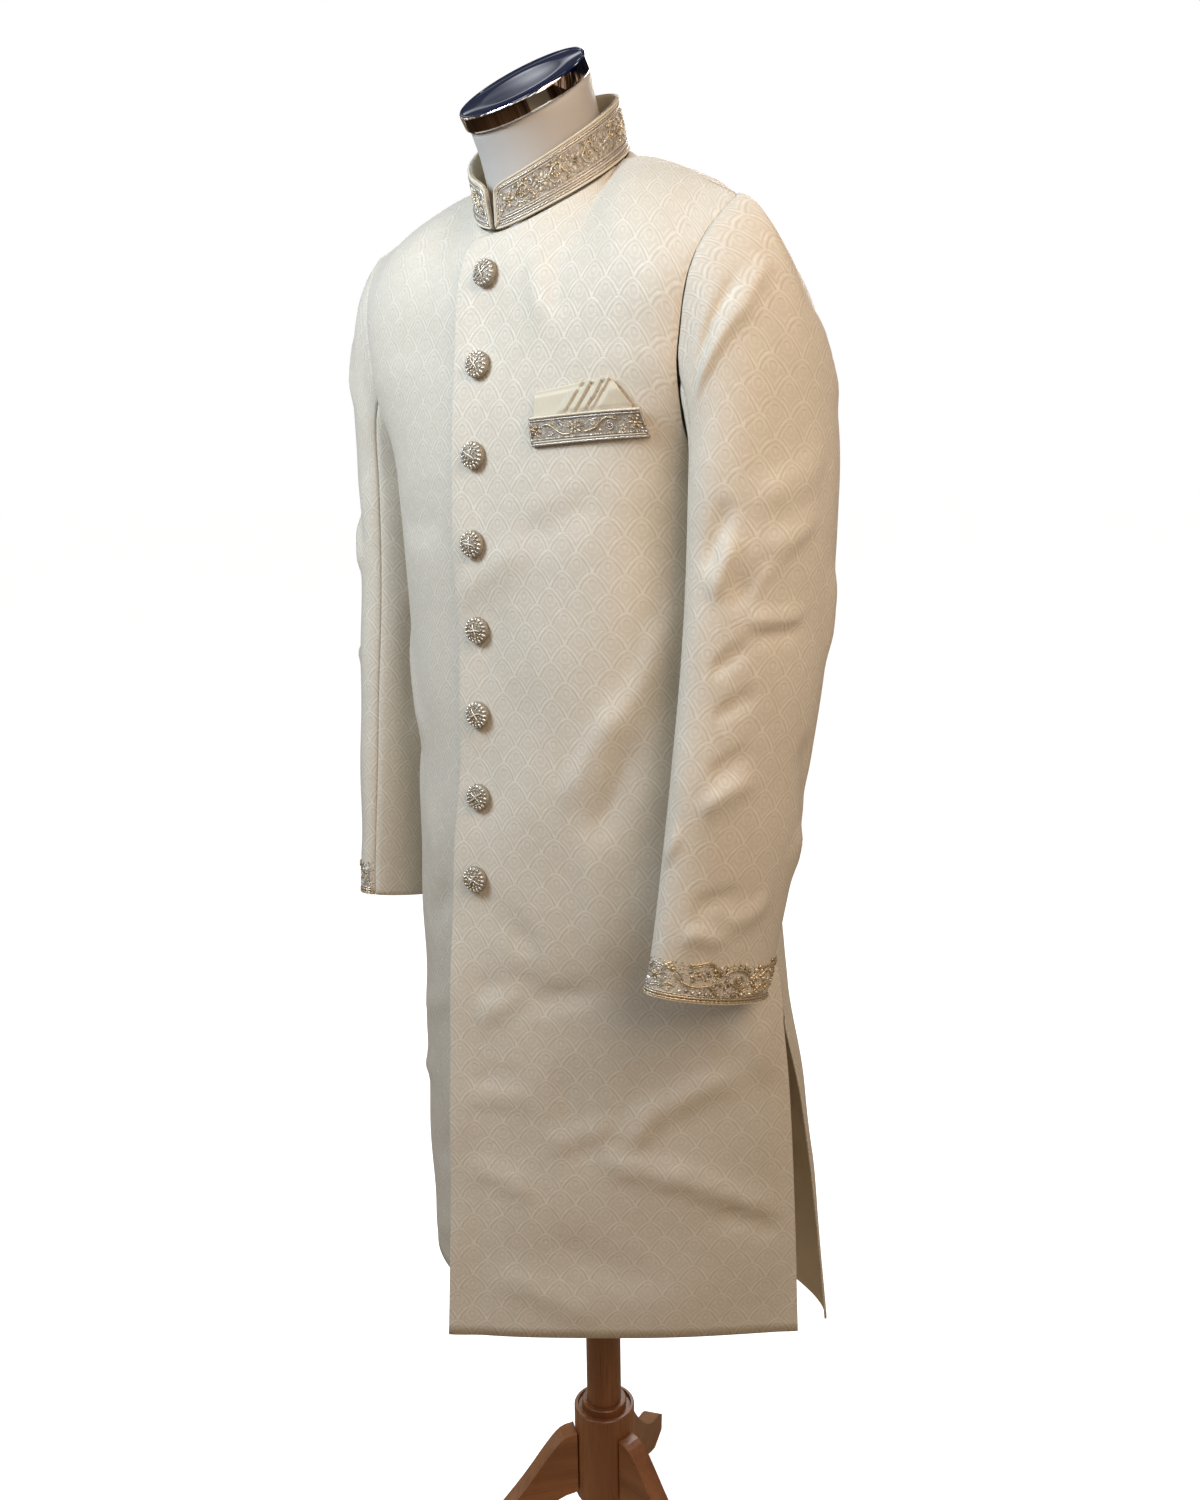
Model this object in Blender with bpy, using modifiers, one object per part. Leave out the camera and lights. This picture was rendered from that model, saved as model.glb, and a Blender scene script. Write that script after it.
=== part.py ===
"""Sherwani coat on a limbless dress form with a wooden stand.

The coat is a set of cut panels: two fronts, two backs, two-piece sleeves, a band collar, a welt
pocket with its square and eight domed buttons.  Each panel is an open grid of points worked out
from a short table of sections, given a wall by Solidify.  +X is the wearer's left, the front
faces -Y, and the stand's pole is the Z axis with the floor at z = 0.
"""

import functools
import math

import bpy
import numpy as np
from mathutils import Vector

# ---------------------------------------------------------------- driving dimensions, in metres
WALL = 0.002              # cloth with its interlining
SEAM_GAP = 0.0006         # between two pieces along a seam
LAP = 0.0010              # between two layers that lie on each other
HEM = 0.375               # height of the hem above the floor
VENT_TOP = 0.720          # where the side vents start
UNDERARM = 1.200
YOKE = 1.335              # above this the front and back turn over to the shoulder seam
YOKE_ROWS = 5
FRONT_COLS = 15
BACK_COLS = 13
FRONT_NECK_SHARE = 0.52     # share of a front's top edge that is sewn to the collar
BACK_SHOULDER_SHARE = 0.60  # share of a back's top edge that is in the shoulder seam
SHOULDER_END = (0.226, -0.058, 1.418)
SHOULDER_FULLNESS = 0.0115  # how far the shoulder seam rises over a straight line
NECK_POINT_TURN = 100.0   # where the shoulder seam meets the collar, degrees round from the front

COLLAR_WALL = 0.003
COLLAR_CENTRE_TURN = -5.0  # the opening sits a little towards the wearer's right
COLLAR_HALF_OPENING = 2.0  # degrees, at the foot of the band
COLLAR_CORNER = 0.016      # radius of the rounded front corners

NECK_TUCK = 0.0035        # how much further in the right front goes under the left at the neck
RIGHT_CUFF_OUT = 0.005     # how much further out the right cuff hangs than the left

BUTTON_COUNT = 8
BUTTON_RADIUS = 0.0125
BUTTON_RIM = 0.0025
BUTTON_DOME = 0.0055
FIRST_BUTTON = 1.3734
BUTTON_PITCH = 0.0767

POCKET_LENGTH = 0.109
POCKET_HEIGHT = 0.0235
POCKET_START = (0.0670, 1.2380)   # x and z of the middle of its inner end
POCKET_RISE = 4.0               # degrees, inner end to outer end
POCKET_FLARE = 0.0034           # how far its top edge stands off the front
POCKET_SKEW = 0.002             # how far its lower edge is set outwards
SQUARE_LENGTH = 0.098
SQUARE_RISE = 0.026
SQUARE_TUCK = 0.009
CHEST_SLANT = 0.955             # width across the front of a length laid along its curve

FORM_INSET = 0.009        # from the outer face of the cloth in to the form
FORM_BASE = 0.790
CAP_CENTRE = (0.0, -0.0752, 1.5357)
CAP_TILT = 35.0
CAP_RADIUS = 0.0608
CAP_HEIGHT = 0.015

POLE_RADIUS = 0.0187
HUB_RADIUS = 0.0329
HUB_TOP = 0.1975
HUB_BOTTOM = 0.088
LEG_COUNT = 3
LEG_THICKNESS = 0.021
LEG_FIRST_TURN = 238.0

# ---------------------------------------------------------------- tables of sections
# Each row is one level of a half body, seen in plan: the line leaves the centre front at
# "front", turned "front_turn" degrees from +X, and reaches the side at (side_x, side_y), turned
# "side_turn" degrees.  The two reaches say how full the curve is at each end.
FRONT_COLUMNS = ("height", "lap", "front", "front_turn", "front_reach",
                 "side_x", "side_y", "side_turn", "side_reach")
LEFT_FRONT = (
    (0.375, 0.024, -0.180, 37.0, 0.105, 0.2290, 0.041, 50.0, 0.105),
    (0.500, 0.024, -0.172, 33.0, 0.100, 0.2270, 0.036, 56.0, 0.095),
    (0.620, 0.025, -0.166, 28.0, 0.095, 0.2240, 0.030, 64.0, 0.085),
    (0.720, 0.026, -0.161, 20.0, 0.095, 0.2180, 0.022, 74.0, 0.080),
    (0.840, 0.027, -0.154, 9.0, 0.105, 0.2000, 0.010, 86.0, 0.090),
    (0.960, 0.024, -0.145, 4.0, 0.116, 0.1820, -0.010, 90.0, 0.098),
    (1.060, 0.024, -0.142, 3.0, 0.122, 0.1770, -0.022, 90.0, 0.096),
    (1.140, 0.026, -0.143, 3.0, 0.122, 0.1790, -0.032, 90.0, 0.088),
    (1.200, 0.027, -0.142, 4.0, 0.132, 0.1830, -0.035, 88.0, 0.086),
    (1.215, 0.027, -0.141, 4.0, 0.124, 0.1870, -0.062, 80.0, 0.062),
    (1.250, 0.028, -0.138, 4.0, 0.100, 0.1940, -0.088, 62.0, 0.040),
    (1.300, 0.030, -0.131, 4.0, 0.095, 0.1990, -0.099, 48.0, 0.040),
    (1.335, 0.032, -0.1262, 4.0, 0.090, 0.2040, -0.099, 40.0, 0.045),
)
RIGHT_FRONT = (
    (0.375, 0.020, -0.150, 12.0, 0.108, 0.2160, -0.005, 74.0, 0.115),
    (0.500, 0.020, -0.150, 11.0, 0.112, 0.2170, -0.002, 78.0, 0.115),
    (0.620, 0.020, -0.150, 10.0, 0.118, 0.2160, 0.004, 80.0, 0.116),
    (0.720, 0.020, -0.150, 8.0, 0.125, 0.2110, 0.010, 82.0, 0.116),
    (0.840, 0.020, -0.150, 6.0, 0.124, 0.1970, 0.006, 86.0, 0.110),
    (0.960, 0.020, -0.144, 4.0, 0.118, 0.1820, -0.010, 90.0, 0.100),
    (1.060, 0.020, -0.142, 3.0, 0.122, 0.1770, -0.022, 90.0, 0.096),
    (1.140, 0.020, -0.143, 3.0, 0.122, 0.1790, -0.032, 90.0, 0.088),
    (1.200, 0.020, -0.142, 4.0, 0.132, 0.1830, -0.035, 88.0, 0.086),
    (1.215, 0.020, -0.141, 4.0, 0.124, 0.1870, -0.062, 80.0, 0.062),
    (1.250, 0.020, -0.138, 4.0, 0.098, 0.1940, -0.088, 62.0, 0.040),
    (1.300, 0.020, -0.131, 4.0, 0.095, 0.1990, -0.099, 48.0, 0.040),
    (1.335, 0.020, -0.1262, 4.0, 0.090, 0.2040, -0.099, 40.0, 0.045),
)
BACK_COLUMNS = ("height", "back", "back_reach", "side_x", "side_y", "side_turn", "side_reach")
LEFT_BACK = (
    (0.375, 0.128, 0.090, 0.2380, 0.076, 120.0, 0.050),
    (0.500, 0.126, 0.090, 0.2330, 0.062, 115.0, 0.055),
    (0.620, 0.124, 0.092, 0.2270, 0.044, 108.0, 0.062),
    (0.720, 0.121, 0.094, 0.2180, 0.022, 100.0, 0.068),
    (0.840, 0.112, 0.095, 0.2000, 0.010, 94.0, 0.065),
    (0.960, 0.090, 0.092, 0.1820, -0.010, 90.0, 0.060),
    (1.060, 0.083, 0.090, 0.1770, -0.022, 90.0, 0.060),
    (1.140, 0.090, 0.092, 0.1790, -0.032, 90.0, 0.070),
    (1.200, 0.096, 0.095, 0.1830, -0.035, 92.0, 0.080),
    (1.215, 0.098, 0.096, 0.1870, -0.008, 100.0, 0.060),
    (1.250, 0.100, 0.096, 0.1920, 0.018, 116.0, 0.045),
    (1.300, 0.101, 0.096, 0.1970, 0.032, 132.0, 0.045),
    (1.335, 0.098, 0.094, 0.2010, 0.032, 140.0, 0.050),
)
RIGHT_BACK_SIDE = {0.375: (0.2240, 0.034), 0.500: (0.2220, 0.026), 0.620: (0.2180, 0.016),
                   0.720: (0.2110, 0.010), 0.840: (0.1970, 0.006)}
RIGHT_BACK = tuple(row[:3] + RIGHT_BACK_SIDE.get(row[0], row[3:5]) + row[5:] for row in LEFT_BACK)
LEFT, RIGHT = (LEFT_FRONT, LEFT_BACK), (RIGHT_FRONT, RIGHT_BACK)

# Each row is one ring of the sleeve: its centre, its half sizes across and along the arm's
# front-to-back direction, how far that direction is turned inwards at the front, and how much
# the ring's plane tips up at the front.
SLEEVE_COLUMNS = ("height", "x", "y", "half_width", "half_depth", "turn", "tip")
SLEEVE = (
    (0.758, 0.2115, -0.077, 0.0280, 0.0620, 14.0, 13.0),
    (0.806, 0.2168, -0.070, 0.0295, 0.0635, 14.0, 12.0),
    (0.880, 0.2220, -0.059, 0.0330, 0.0665, 13.0, 10.0),
    (0.966, 0.2270, -0.048, 0.0365, 0.0690, 12.0, 8.0),
    (1.060, 0.2300, -0.035, 0.0405, 0.0720, 11.0, 5.0),
    (1.130, 0.2310, -0.029, 0.0430, 0.0735, 10.0, 2.0),
    (1.186, 0.2310, -0.026, 0.0440, 0.0745, 9.0, 0.0),
)
# The two edges of the collar band: half width, front and back in y, their heights, and how
# early the edge climbs on its way round to the back.
BAND_COLUMNS = ("half_width", "front", "back", "front_height", "back_height", "climb")
COLLAR_FOOT = (0.0725, -0.1054, 0.0228, 1.4112, 1.4945, 0.81)
COLLAR_TOP = (0.0726, -0.1105, 0.0074, 1.4467, 1.5352, 0.75)

# The leg's outline in its own plane: distance out from the pole, and height.
LEG_UPPER = ((0.0300, 0.172), (0.0480, 0.168), (0.0650, 0.150), (0.0900, 0.117),
             (0.1250, 0.078), (0.1650, 0.046), (0.2000, 0.031), (0.2160, 0.020))
LEG_LOWER = ((0.2140, 0.000), (0.1800, 0.000), (0.1550, 0.012), (0.1200, 0.034),
             (0.0850, 0.068), (0.0550, 0.094), (0.0300, 0.100))

# Colour, roughness and metallic value of each finish.
FINISHES = {
    "cloth": ((0.78, 0.72, 0.60, 1.0), 0.62, 0.0),
    "embroidery": ((0.56, 0.50, 0.42, 1.0), 0.38, 0.55),
    "button": ((0.50, 0.45, 0.38, 1.0), 0.32, 0.70),
    "form": ((0.80, 0.74, 0.68, 1.0), 0.55, 0.0),
    "chrome": ((0.82, 0.83, 0.85, 1.0), 0.06, 1.0),
    "wood": ((0.30, 0.13, 0.05, 1.0), 0.42, 0.0),
}


# ---------------------------------------------------------------- reading the tables
def column(table, columns, name):
    """One named column of a table as an array."""
    return np.array([row[columns.index(name)] for row in table])


def smooth_at(xs, ys, x):
    """Value at x of the curve through (xs, ys) whose slopes are those of each point's neighbours."""
    xs, ys = np.asarray(xs, float), np.asarray(ys, float)
    x = np.clip(np.asarray(x, float), xs[0], xs[-1])
    slopes = np.gradient(ys, xs)
    i = np.clip(np.searchsorted(xs, x, side="right") - 1, 0, len(xs) - 2)
    h = xs[i + 1] - xs[i]
    t = (x - xs[i]) / h
    return ((2 * t**3 - 3 * t**2 + 1) * ys[i] + (t**3 - 2 * t**2 + t) * h * slopes[i]
            + (3 * t**2 - 2 * t**3) * ys[i + 1] + (t**3 - t**2) * h * slopes[i + 1])


def read(table, columns, name, height):
    """A column of a table at any height."""
    return smooth_at(column(table, columns, "height"), column(table, columns, name), height)


def ease(x):
    """Smooth step from 0 to 1 as x goes from 0 to 1."""
    x = np.clip(x, 0.0, 1.0)
    return x * x * (3 - 2 * x)


def unit(vectors):
    return vectors / np.maximum(np.linalg.norm(vectors, axis=-1, keepdims=True), 1e-9)


def bezier(a, b, c, d, t):
    """Cubic Bezier point at t, with its four control points as arrays of the same shape."""
    return (1 - t)**3 * a + 3 * t * (1 - t)**2 * b + 3 * t * t * (1 - t) * c + t**3 * d


def plan(x, y):
    return np.stack([x, y], -1)


def heading(degrees):
    return plan(np.cos(np.radians(degrees)), np.sin(np.radians(degrees)))


# ---------------------------------------------------------------- surfaces of the coat
def collar_edge(edge, turn):
    """Point on an edge of the band, turn in degrees round from the front towards +X."""
    half_width, front, back, low, high, climb = edge
    a = np.radians(turn)
    k = (1 - np.cos(a)) / 2
    middle, half = (front + back) / 2, (back - front) / 2
    return np.stack([half_width * np.sin(a), middle - half * np.cos(a), low + (high - low) * k**climb], -1)


def neck_line(turn):
    """The panels' edge round the neck, a little outside the foot of the collar."""
    p = collar_edge(COLLAR_FOOT, turn)
    middle = np.array([0.0, (COLLAR_FOOT[1] + COLLAR_FOOT[2]) / 2, 0.0])
    out = unit((p - middle) * np.array([1.0, 1.0, 0.0]))
    return p + out * 0.0014 - np.array([0.0, 0.0, 0.0012])


def front_row(table, height, u):
    """Row of a left-hand front at one height; u = 0 at the free edge, 1 at the side."""
    get = lambda name: read(table, FRONT_COLUMNS, name, height)
    lap = get("lap")
    start = plan(0.0 * height, get("front"))
    end = plan(get("side_x"), get("side_y"))
    away, home = heading(get("front_turn")), heading(get("side_turn"))
    lap_share = 0.12
    t = np.clip((u - lap_share) / (1 - lap_share), 0, 1)[..., None]
    curve = bezier(start, start + away * get("front_reach")[..., None],
                   end - home * get("side_reach")[..., None], end, t)
    back_off = np.clip(1 - u / lap_share, 0, 1)[..., None]
    xy = curve - away * lap[..., None] * back_off
    return np.concatenate([xy, (height + 0 * u)[..., None]], -1)


def back_row(tables, height, u):
    """Row of a left-hand back at one height; u = 0 at the side, 1 at the centre back."""
    get = lambda name: read(tables[1], BACK_COLUMNS, name, height)
    sewn = (height >= VENT_TOP) & (height <= UNDERARM)
    start = plan(*(np.where(sewn, read(tables[0], FRONT_COLUMNS, name, height), get(name))
                   for name in ("side_x", "side_y")))
    end = plan(0.0 * height + SEAM_GAP / 2, get("back"))
    away = heading(get("side_turn"))
    reach = get("back_reach")[..., None] * np.array([1.0, 0.0])
    xy = bezier(start, start + away * get("side_reach")[..., None], end + reach, end, u[..., None])
    return np.concatenate([xy, (height + 0 * u)[..., None]], -1)


def shoulder_seam(s):
    """From the neck point (s = 0) to the shoulder end (s = 1), full where it leaves the neck."""
    start = neck_line(np.array(NECK_POINT_TURN))
    end = np.array(SHOULDER_END)
    p = start + (end - start) * s[..., None]
    p[..., 2] += SHOULDER_FULLNESS * np.sin(np.pi * s ** 0.6)
    return p


def yoke(bottom, below, top, top_slope, v):
    """Surface from a row of the panel up to the neck line and shoulder seam.

    Each column is a Bezier curve that leaves "bottom" in the direction the panel already has
    ("bottom" minus "below") and arrives at "top" along "top_slope".
    """
    length = np.linalg.norm(top - bottom, axis=-1, keepdims=True)
    rise = unit(bottom - below)
    c1 = bottom + rise * length * 0.42
    c2 = top - unit(top_slope) * length * 0.36
    v = v[:, None, None]
    return bezier(bottom[None], c1[None], c2[None], top[None], v)


def front_panel(table, side, cols, fine=1):
    """Outer face of a front as a grid [row from the hem up, column from the free edge]."""
    u = np.linspace(0, 1, cols)
    heights = panel_heights(fine)
    body = front_row(table, heights[:, None] + 0 * u[None], u[None] + 0 * heights[:, None])
    under = front_row(table, np.full(cols, YOKE - 0.01), u)
    neck_share = FRONT_NECK_SHARE
    on_neck = u <= neck_share
    lap = read(table, FRONT_COLUMNS, "lap", YOKE)
    turn = NECK_POINT_TURN * np.clip((u - 0.12) / (neck_share - 0.12), 0, 1)
    neck = neck_line(turn)
    off = np.clip(1 - u / 0.12, 0, 1)
    neck[:, 0] -= off * lap
    neck[:, 2] -= off * 0.002
    seam = shoulder_seam(np.clip((u - neck_share) / (1 - neck_share), 0, 1))
    seam[:, 1] -= SEAM_GAP / 2
    top = np.where(on_neck[:, None], neck, seam)
    around = ease((u - 0.12) / (neck_share - 0.12))[:, None]
    over = ease((u - neck_share) / 0.18)[:, None]
    slope = np.array([0.0, 0.50, 1.0]) * (1 - around) + np.array([-0.05, 0.62, 0.70]) * around
    slope = slope * (1 - over) + np.array([0.0, 0.90, 0.42]) * over
    blend_end = ease((u - 0.80) / 0.2)[:, None]
    slope = slope * (1 - blend_end) + np.array([0.25, 0.85, 0.75]) * blend_end
    upper = yoke(body[-1], under, top, slope, np.linspace(0, 1, YOKE_ROWS * fine + 1)[1:])
    grid = np.concatenate([body, upper])
    if table is RIGHT_FRONT:
        grid = tuck_under(grid, front_panel(LEFT_FRONT, 1, 4 * cols, fine))
    grid[..., 0] *= side
    return grid


def tuck_under(grid, over):
    """The right front near the centre, sunk below the left front that laps over it."""
    for row, cover in zip(grid, over):
        lap = -cover[0, 0]
        room = np.interp(-row[:, 0], cover[:, 0], cover[:, 1]) + WALL + 2 * LAP
        room += NECK_TUCK * ease((row[:, 2] - YOKE) / 0.07)
        sink = np.maximum(room - row[:, 1], 0)
        at_edge = np.interp(lap, row[:, 0], sink)
        row[:, 1] += np.where(row[:, 0] < lap, sink, at_edge * (1 - ease((row[:, 0] - lap) / 0.05)))
    return grid


def panel_heights(fine):
    """Heights of a panel's rows below the yoke, closest together at the foot of the armhole."""
    skirt = np.linspace(HEM, VENT_TOP, 4 * fine + 1)
    body = np.linspace(VENT_TOP, UNDERARM, 6 * fine + 1)
    chest = UNDERARM + (YOKE - UNDERARM) * np.linspace(0, 1, 5 * fine + 1) ** 1.5
    return np.concatenate([skirt, body[1:], chest[1:]])


def back_panel(tables, side, cols, fine=1):
    """Outer face of a back as a grid [row from the hem up, column from the side]."""
    u = np.linspace(0, 1, cols)
    heights = panel_heights(fine)
    body = back_row(tables, heights[:, None] + 0 * u[None], u[None] + 0 * heights[:, None])
    under = back_row(tables, np.full(cols, YOKE - 0.01), u)
    neck_share = BACK_SHOULDER_SHARE
    seam = shoulder_seam(1 - np.clip(u / neck_share, 0, 1))
    seam[:, 1] += SEAM_GAP / 2
    turn = NECK_POINT_TURN + (180 - NECK_POINT_TURN) * np.clip((u - neck_share) / (1 - neck_share), 0, 1)
    neck = neck_line(turn)
    neck[:, 0] = np.maximum(neck[:, 0], SEAM_GAP / 2)
    top = np.where((u < neck_share)[:, None], seam, neck)
    blend = ease((u - neck_share) / (1 - neck_share))[:, None]
    slope = np.array([-0.05, -1.0, -0.06]) * (1 - blend) + np.array([0.0, -0.75, 0.8]) * blend
    blend_end = ease((0.2 - u) / 0.2)[:, None]
    slope = slope * (1 - blend_end) + np.array([0.25, -0.85, 0.75]) * blend_end
    upper = yoke(body[-1], under, top, slope, np.linspace(0, 1, YOKE_ROWS * fine + 1)[1:])
    grid = np.concatenate([body, upper])
    grid[:len(heights), 0, :2] += side_seam_shift(heights)
    grid[..., 0] *= side
    return grid


def side_seam_shift(heights):
    """Moves the back's side edge along the seam by the seam gap, above the vent."""
    closed = (heights > VENT_TOP - 0.02)[:, None]
    return closed * np.array([[0.0, SEAM_GAP]])


def sleeve_ring(height, angle):
    """Point on a sleeve ring; angle 0 faces out, 90 forward, 180 in, 270 back."""
    get = lambda name: read(SLEEVE, SLEEVE_COLUMNS, name, height)
    a, turn = np.radians(angle), np.radians(get("turn"))
    across, along = get("half_width") * np.cos(a), get("half_depth") * np.sin(a)
    x = get("x") + across * np.cos(turn) - along * np.sin(turn)
    y = get("y") - across * np.sin(turn) - along * np.cos(turn)
    z = height + along * np.tan(np.radians(get("tip")))
    return np.stack([x, y, z], -1)


def armhole(angle):
    """Point on the armhole for a sleeve angle: 0 the shoulder end, 180 the underarm."""
    share = np.abs((angle + 180) % 360 - 180) / 180
    height = SHOULDER_END[2] - (SHOULDER_END[2] - UNDERARM) * (1 - np.cos(np.pi * share)) / 2
    ahead, behind = front_panel(LEFT_FRONT, 1, 2)[:, -1], back_panel(LEFT, 1, 2)[:, 0]
    x, y = (np.where(angle % 360 < 180, np.interp(height, ahead[:, 2], ahead[:, k]),
                     np.interp(height, behind[:, 2], behind[:, k])) for k in (0, 1))
    return np.stack([x + SEAM_GAP, y, height], -1)


def sleeve_piece(first, last, side, cols, rows, cap_rows):
    """Outer face of a sleeve piece between two angles, grid [row from the cuff up, column]."""
    angle = np.linspace(first, last, cols)
    low, high = SLEEVE[0][0], SLEEVE[-1][0]
    heights = np.linspace(low, high, rows)
    tube = sleeve_ring(heights[:, None] + 0 * angle[None], angle[None] + 0 * heights[:, None])
    under = sleeve_ring(np.full(cols, high - 0.01), angle)
    top = armhole(angle)
    outward = (1 + np.cos(np.radians(angle)))[:, None] / 2
    slope = np.array([-1.0, 0.0, 0.30]) * outward + np.array([-0.25, 0.0, 0.6]) * (1 - outward)
    length = np.linalg.norm(top - tube[-1], axis=-1, keepdims=True)
    c1 = tube[-1] + unit(tube[-1] - under) * length * (0.30 + 0.16 * outward)
    c2 = top - unit(slope) * length * (0.20 + 0.04 * outward)
    v = np.linspace(0, 1, cap_rows + 1)[1:, None, None]
    cap = bezier(tube[-1][None], c1[None], c2[None], top[None], v)
    grid = np.concatenate([tube, cap])
    if side < 0:
        grid[..., 0] += RIGHT_CUFF_OUT * (1 - ease((grid[..., 2] - low) / 0.22))
    grid[..., 0] *= side
    return grid


def collar_band(cols, rows):
    """Outer face of the collar, from its left end round the back to its right end."""
    v = np.linspace(0, 1, rows)[:, None]
    height = COLLAR_TOP[3] - COLLAR_FOOT[3]
    u = np.linspace(0, 1, cols)[None]
    end_turn = COLLAR_HALF_OPENING + 3.0 * v
    turn = COLLAR_CENTRE_TURN + end_turn + (360 - 2 * end_turn) * u
    foot, top = collar_edge(COLLAR_FOOT, turn), collar_edge(COLLAR_TOP, turn)
    from_end = np.radians(np.minimum(turn - COLLAR_CENTRE_TURN - COLLAR_HALF_OPENING,
                                     COLLAR_CENTRE_TURN + 360 - COLLAR_HALF_OPENING - turn)) * 0.066
    inside = np.clip(1 - from_end / COLLAR_CORNER, 0, 1)
    drop = COLLAR_CORNER * (1 - np.sqrt(np.clip(1 - inside**2, 0, 1))) * 0.75
    share = v * (1 - drop / height)
    return foot + (top - foot) * share[..., None] + np.array([0, 0, 0.0006])


# ---------------------------------------------------------------- meshes and materials
def material(finish):
    """A plain finish made once and shared by the pieces that have it."""
    name = "finish_" + finish
    if name in bpy.data.materials:
        return bpy.data.materials[name]
    colour, roughness, metallic = FINISHES[finish]
    made = bpy.data.materials.new(name)
    made.use_nodes = True
    shader = made.node_tree.nodes["Principled BSDF"]
    shader.inputs["Base Color"].default_value = colour
    shader.inputs["Roughness"].default_value = roughness
    shader.inputs["Metallic"].default_value = metallic
    return made


def add_object(name, data, finish):
    """Puts a mesh or curve in the coat's collection with its finish."""
    piece = bpy.data.objects.new(name, data)
    data.materials.append(material(finish))
    bpy.data.collections["sherwani_coat"].objects.link(piece)
    return piece


def wall_directions(grid, sign):
    """Unit vectors out of a grid's face at each point."""
    across, up = np.gradient(grid, axis=1, edge_order=2), np.gradient(grid, axis=0, edge_order=2)
    return unit(np.cross(across, up)) * sign


def shell(name, grid, out, finish="cloth", wall=WALL):
    """A closed shell of cloth: the grid is its outer face and the inner face lies a wall inside it."""
    rows, cols = grid.shape[:2]
    index = np.arange(rows * cols).reshape(rows, cols)
    face = np.stack([index[:-1, :-1], index[:-1, 1:], index[1:, 1:], index[1:, :-1]], -1).reshape(-1, 4)
    edge = np.concatenate([index[0], index[1:, -1], index[-1, -2::-1], index[-2:0:-1, 0]])
    ahead, inner = np.roll(edge, -1), rows * cols
    rim = np.stack([ahead, edge, edge + inner, ahead + inner], -1)
    faces = np.concatenate([face, face[:, ::-1] + inner, rim])
    across, up = grid[0, 1] - grid[0, 0], grid[1, 0] - grid[0, 0]
    if np.dot(np.cross(across, up), out[0, 0]) < 0:
        faces = faces[:, ::-1]
    points = np.concatenate([grid.reshape(-1, 3), (grid - out * wall).reshape(-1, 3)])
    mesh = bpy.data.meshes.new(name)
    mesh.from_pydata(points.tolist(), [], faces.tolist())
    return add_object(name, mesh, finish)


def turned(name, profile, finish, steps):
    """A turned piece from its outer profile (radius, height), top to bottom."""
    mesh = bpy.data.meshes.new(name)
    points = [(r, 0.0, z) for r, z in profile]
    mesh.from_pydata(points, [(i, i + 1) for i in range(len(points) - 1)], [])
    piece = add_object(name, mesh, finish)
    lathe = piece.modifiers.new("lathe", "SCREW")
    lathe.steps = steps
    lathe.render_steps = steps
    lathe.use_merge_vertices = True
    lathe.merge_threshold = 0.00005
    lathe.use_smooth_shade = True
    return piece


def capped(name, rings, finish):
    """A closed solid through rings [ring, point, xyz], with a fan cap at each end."""
    count, around = rings.shape[:2]
    points = rings.reshape(-1, 3).tolist()
    points += [rings[0].mean(0).tolist(), rings[-1].mean(0).tolist()]
    low, high = count * around, count * around + 1
    faces = []
    for i in range(count - 1):
        for j in range(around):
            k = (j + 1) % around
            faces.append((i * around + j, i * around + k, (i + 1) * around + k, (i + 1) * around + j))
    top = (count - 1) * around
    for j in range(around):
        k = (j + 1) % around
        faces.append((k, j, low))
        faces.append((top + j, top + k, high))
    mesh = bpy.data.meshes.new(name)
    mesh.from_pydata(points, [], faces)
    mesh.shade_smooth()
    return add_object(name, mesh, finish)


# ---------------------------------------------------------------- pieces of the coat
def panel_pair(side, front_cols, back_cols, fine=1):
    """A front and a back with their wall directions, mitred where they are sewn together."""
    tables = LEFT if side > 0 else RIGHT
    front, back = front_panel(tables[0], side, front_cols, fine), back_panel(tables, side, back_cols, fine)
    front_out, back_out = wall_directions(front, side), wall_directions(back, side)
    sewn = (front[:, -1, 2] > VENT_TOP - 0.02) & (front[:, -1, 2] < UNDERARM + 0.001)
    shared = unit(front_out[sewn, -1] + back_out[sewn, 0])
    front_out[sewn, -1] = back_out[sewn, 0] = shared
    on_seam = np.linspace(0, 1, front_cols) > FRONT_NECK_SHARE
    front_out[-1, on_seam] = unit(np.array([0.3 * side, 0.0, 1.0]))
    on_seam = np.linspace(0, 1, back_cols) < BACK_SHOULDER_SHARE
    back_out[-1, on_seam] = unit(np.array([0.3 * side, 0.0, 1.0]))
    return front, front_out, back, back_out


def make_panels():
    for side, word in ((1, "left"), (-1, "right")):
        front, front_out, back, back_out = panel_pair(side, FRONT_COLS, BACK_COLS)
        shell("front_" + word, front, front_out)
        shell("back_" + word, back, back_out)


def make_sleeves():
    for side, word in ((1, "left"), (-1, "right")):
        for part, first, last, cols in (("upper", -100.0, 108.0, 13), ("under", 108.6, 259.4, 9)):
            grid = sleeve_piece(first, last, side, cols, 9, 7)
            shell(f"sleeve_{part}_{word}", grid, wall_directions(grid, -side))


def make_collar():
    grid = collar_band(41, 4)
    shell("collar", grid, wall_directions(grid, 1), "embroidery", COLLAR_WALL)


@functools.lru_cache
def left_front():
    return front_panel(LEFT_FRONT, 1, FRONT_COLS)


def front_point(x, z):
    """Point of the left front's own facets where it passes x at height z."""
    grid = left_front()
    row = np.array([[np.interp(z, line[:, 2], line[:, k]) for k in (0, 1)] for line in grid.swapaxes(0, 1)])
    return np.array([x, np.interp(x, row[:, 0], row[:, 1]), z])


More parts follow.
